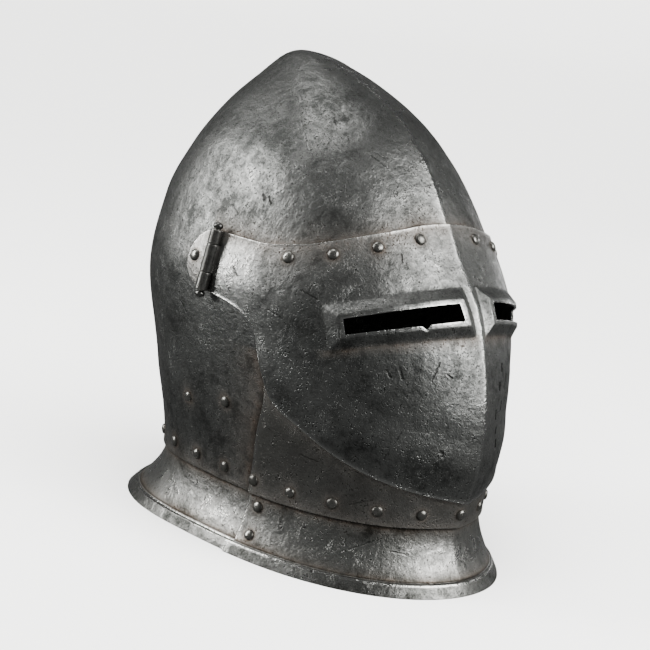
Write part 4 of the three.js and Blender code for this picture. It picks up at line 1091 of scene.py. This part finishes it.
def make_leaf():
    """The half-round leaf behind the pin."""
    bm = bmesh.new()
    columns, rows = 24, 44
    verts, column, row = grid_of(bm, columns, rows)
    up = -np.cos(math.pi * row / rows)
    z = hinge_middle + up * LEAF_RADIUS * 0.99
    reach = np.maximum(LEAF_RADIUS * np.sqrt(np.maximum(1 - up * up, 0)), LEAF_RADIUS * 0.12)
    y = HINGE_BACK + FIT + (KNUCKLE_RADIUS + reach - FIT) * column / columns
    turn = turn_at(y, z)
    points = lifted(turn, z, np.full(len(z), LEAF_LIFT))
    points += outwards(turn, z) * hammered(on_body(turn, z))[:, None]
    move_to(verts, points)
    face_out(bm)
    edge = np.minimum(np.minimum(row, rows - row) * 0.9, (columns - column) * 1.0)
    # Rust all over the leaf, with painted shade as well round its rivet
    rust_and_shade = np.maximum(0.35, 0.8 * near_points(points, rivet_marks, 3))
    piece = show("hinge_leaf_plate", bm, "helmet", "hinge_steel", ["hinge_leaf"],
                 0.35 + 0.6 * np.exp(-edge / 1.5), rust_and_shade)
    # The leaf is as bright as the visor, and only the barrels are dark
    piece.data.materials[0] = STEELS["visor_steel"]
    round_edges(piece, WALL)


make_leaf()


def make_latch():
    """The plain stud on which the visor's free end catches."""
    origin, out = on_body(LATCH_TURN, hinge_middle), outwards(LATCH_TURN, hinge_middle)
    seat = VISOR_HIGH_LIFT + 0.5
    profile = dome(LATCH_RADIUS, seat, seat + LATCH_HEIGHT, squareness=3) + [
        (LATCH_SHANK, seat), (LATCH_SHANK, -WALL - 0.2), (TAIL_RADIUS, -WALL - 0.2), (0, -WALL - 1.2)]
    bm = turned(profile, 28, origin, out)
    heights = (back_in_flat([v.co for v in bm.verts]) - origin) @ out - seat
    piece = show("latch_stud_head", bm, "helmet", "rivet_steel", ["latch_stud"],
                 np.clip(heights / LATCH_HEIGHT, 0, 1) * 0.6, np.exp(-np.maximum(heights, 0)) * 0.6)
    round_edges(piece, width=0.2)


make_latch()


# Floor, light and camera

PAPER_HALF, PAPER_FLAT, PAPER_RISE = 40, 12, 0.018  # metres, and how fast it rises past the flat


def make_floor():
    """A pale sheet of paper: flat under the helmet and curving up far away on every side."""
    bm = bmesh.new()
    verts, column, row = grid_of(bm, 2 * PAPER_HALF, 2 * PAPER_HALF)
    for vert, c, r in zip(verts, column, row):
        x, y = c - PAPER_HALF, r - PAPER_HALF
        vert.co = (x, y, PAPER_RISE * max(0, math.hypot(x, y) - PAPER_FLAT) ** 2)
    bmesh.ops.recalc_face_normals(bm, faces=bm.faces)
    mesh = bpy.data.meshes.new("floor")
    bm.to_mesh(mesh)
    bm.free()
    for face in mesh.polygons:
        face.use_smooth = True
    floor = bpy.data.objects.new("floor", mesh)
    bpy.context.collection.objects.link(floor)
    # Matt coated paper: white, without any shine
    paper = bpy.data.materials.new("matt white background paper")
    paper.use_nodes = True
    shader = paper.node_tree.nodes["Principled BSDF"]
    shader.inputs["Base Color"].default_value = hex_colour("#efefed")
    shader.inputs["Roughness"].default_value = 0.9
    mesh.materials.append(paper)
    floor.visible_glossy = False


# The photograph's camera, solved for the helmet's symmetrical form: degrees and millimetres
CAMERA_TURN, CAMERA_RISE, CAMERA_ROLL = 45.8, 11.47, 8.74
CAMERA_TARGET, CAMERA_DISTANCE, CAMERA_LENS = (0, 16.85, 156.5), 1346, 95.77


def towards(turn, rise):
    """The direction at a turn round the helmet and a rise above the ground, in degrees."""
    a, e = math.radians(turn), math.radians(rise)
    return Vector((-math.sin(a) * math.cos(e), -math.cos(a) * math.cos(e), math.sin(e)))


def make_camera():
    """The photograph's view, rolled about its own axis as the photograph is."""
    a, r = math.radians(CAMERA_TURN), math.radians(CAMERA_ROLL)
    back = towards(CAMERA_TURN, CAMERA_RISE)
    right = Vector((math.cos(a), -math.sin(a), 0))
    up = back.cross(right)
    rolled_right = right * math.cos(r) + up * math.sin(r)
    rolled_up = up * math.cos(r) - right * math.sin(r)
    data = bpy.data.cameras.new("camera")
    data.lens, data.sensor_width = CAMERA_LENS, 36
    data.clip_start, data.clip_end = 0.05, 90
    camera = bpy.data.objects.new("camera", data)
    bpy.context.collection.objects.link(camera)
    turn = Matrix((rolled_right, rolled_up, back)).transposed().to_4x4()
    place = Vector(place_in_frame(CAMERA_TARGET)) + back * CAMERA_DISTANCE * MM
    camera.matrix_world = Matrix.Translation(place) @ turn
    bpy.context.scene.camera = camera


def soft_light(name, turn, rise, distance, width, tall, power):
    """A soft box at a turn round the helmet and a rise above it, facing its middle."""
    data = bpy.data.lights.new(name, "AREA")
    data.shape = "RECTANGLE"
    data.size, data.size_y = width, tall
    data.energy = power
    light = bpy.data.objects.new(name, data)
    bpy.context.collection.objects.link(light)
    back = towards(turn, rise)
    place = Vector((0, 0, 0.17)) + back * distance
    light.matrix_world = Matrix.Translation(place) @ back.to_track_quat("Z", "Y").to_matrix().to_4x4()


def room_light():
    """Even light from the whole ceiling, for the paper: too wide and plain to show in the steel."""
    data = bpy.data.lights.new("ceiling", "SUN")
    data.energy, data.angle = 13, math.radians(80)
    light = bpy.data.objects.new("ceiling", data)
    bpy.context.collection.objects.link(light)
    toward = towards(CAMERA_TURN, 0) * 0.6 + Vector((0, 0, 1))
    light.matrix_world = toward.to_track_quat("Z", "Y").to_matrix().to_4x4()
    light.visible_glossy = False


make_floor()
make_camera()
# Placed by the bright patches that the photograph shows: turn, rise, distance, width, height, watts
soft_light("left soft box", 130, 25, 1.6, 0.5, 1.3, 29)
soft_light("front soft box", -22, 31, 1.6, 1.15, 1.1, 36)
soft_light("top soft box", 172, 76, 1.5, 0.55, 0.55, 7)
soft_light("far side fill", -104, 3, 2.2, 0.55, 0.3, 2.6)
room_light()

world = bpy.data.worlds.new("dim studio")
world.use_nodes = True
world.node_tree.nodes["Background"].inputs["Color"].default_value = hex_colour("#dadbdc")
world.node_tree.nodes["Background"].inputs["Strength"].default_value = 0.18
bpy.context.scene.world = world
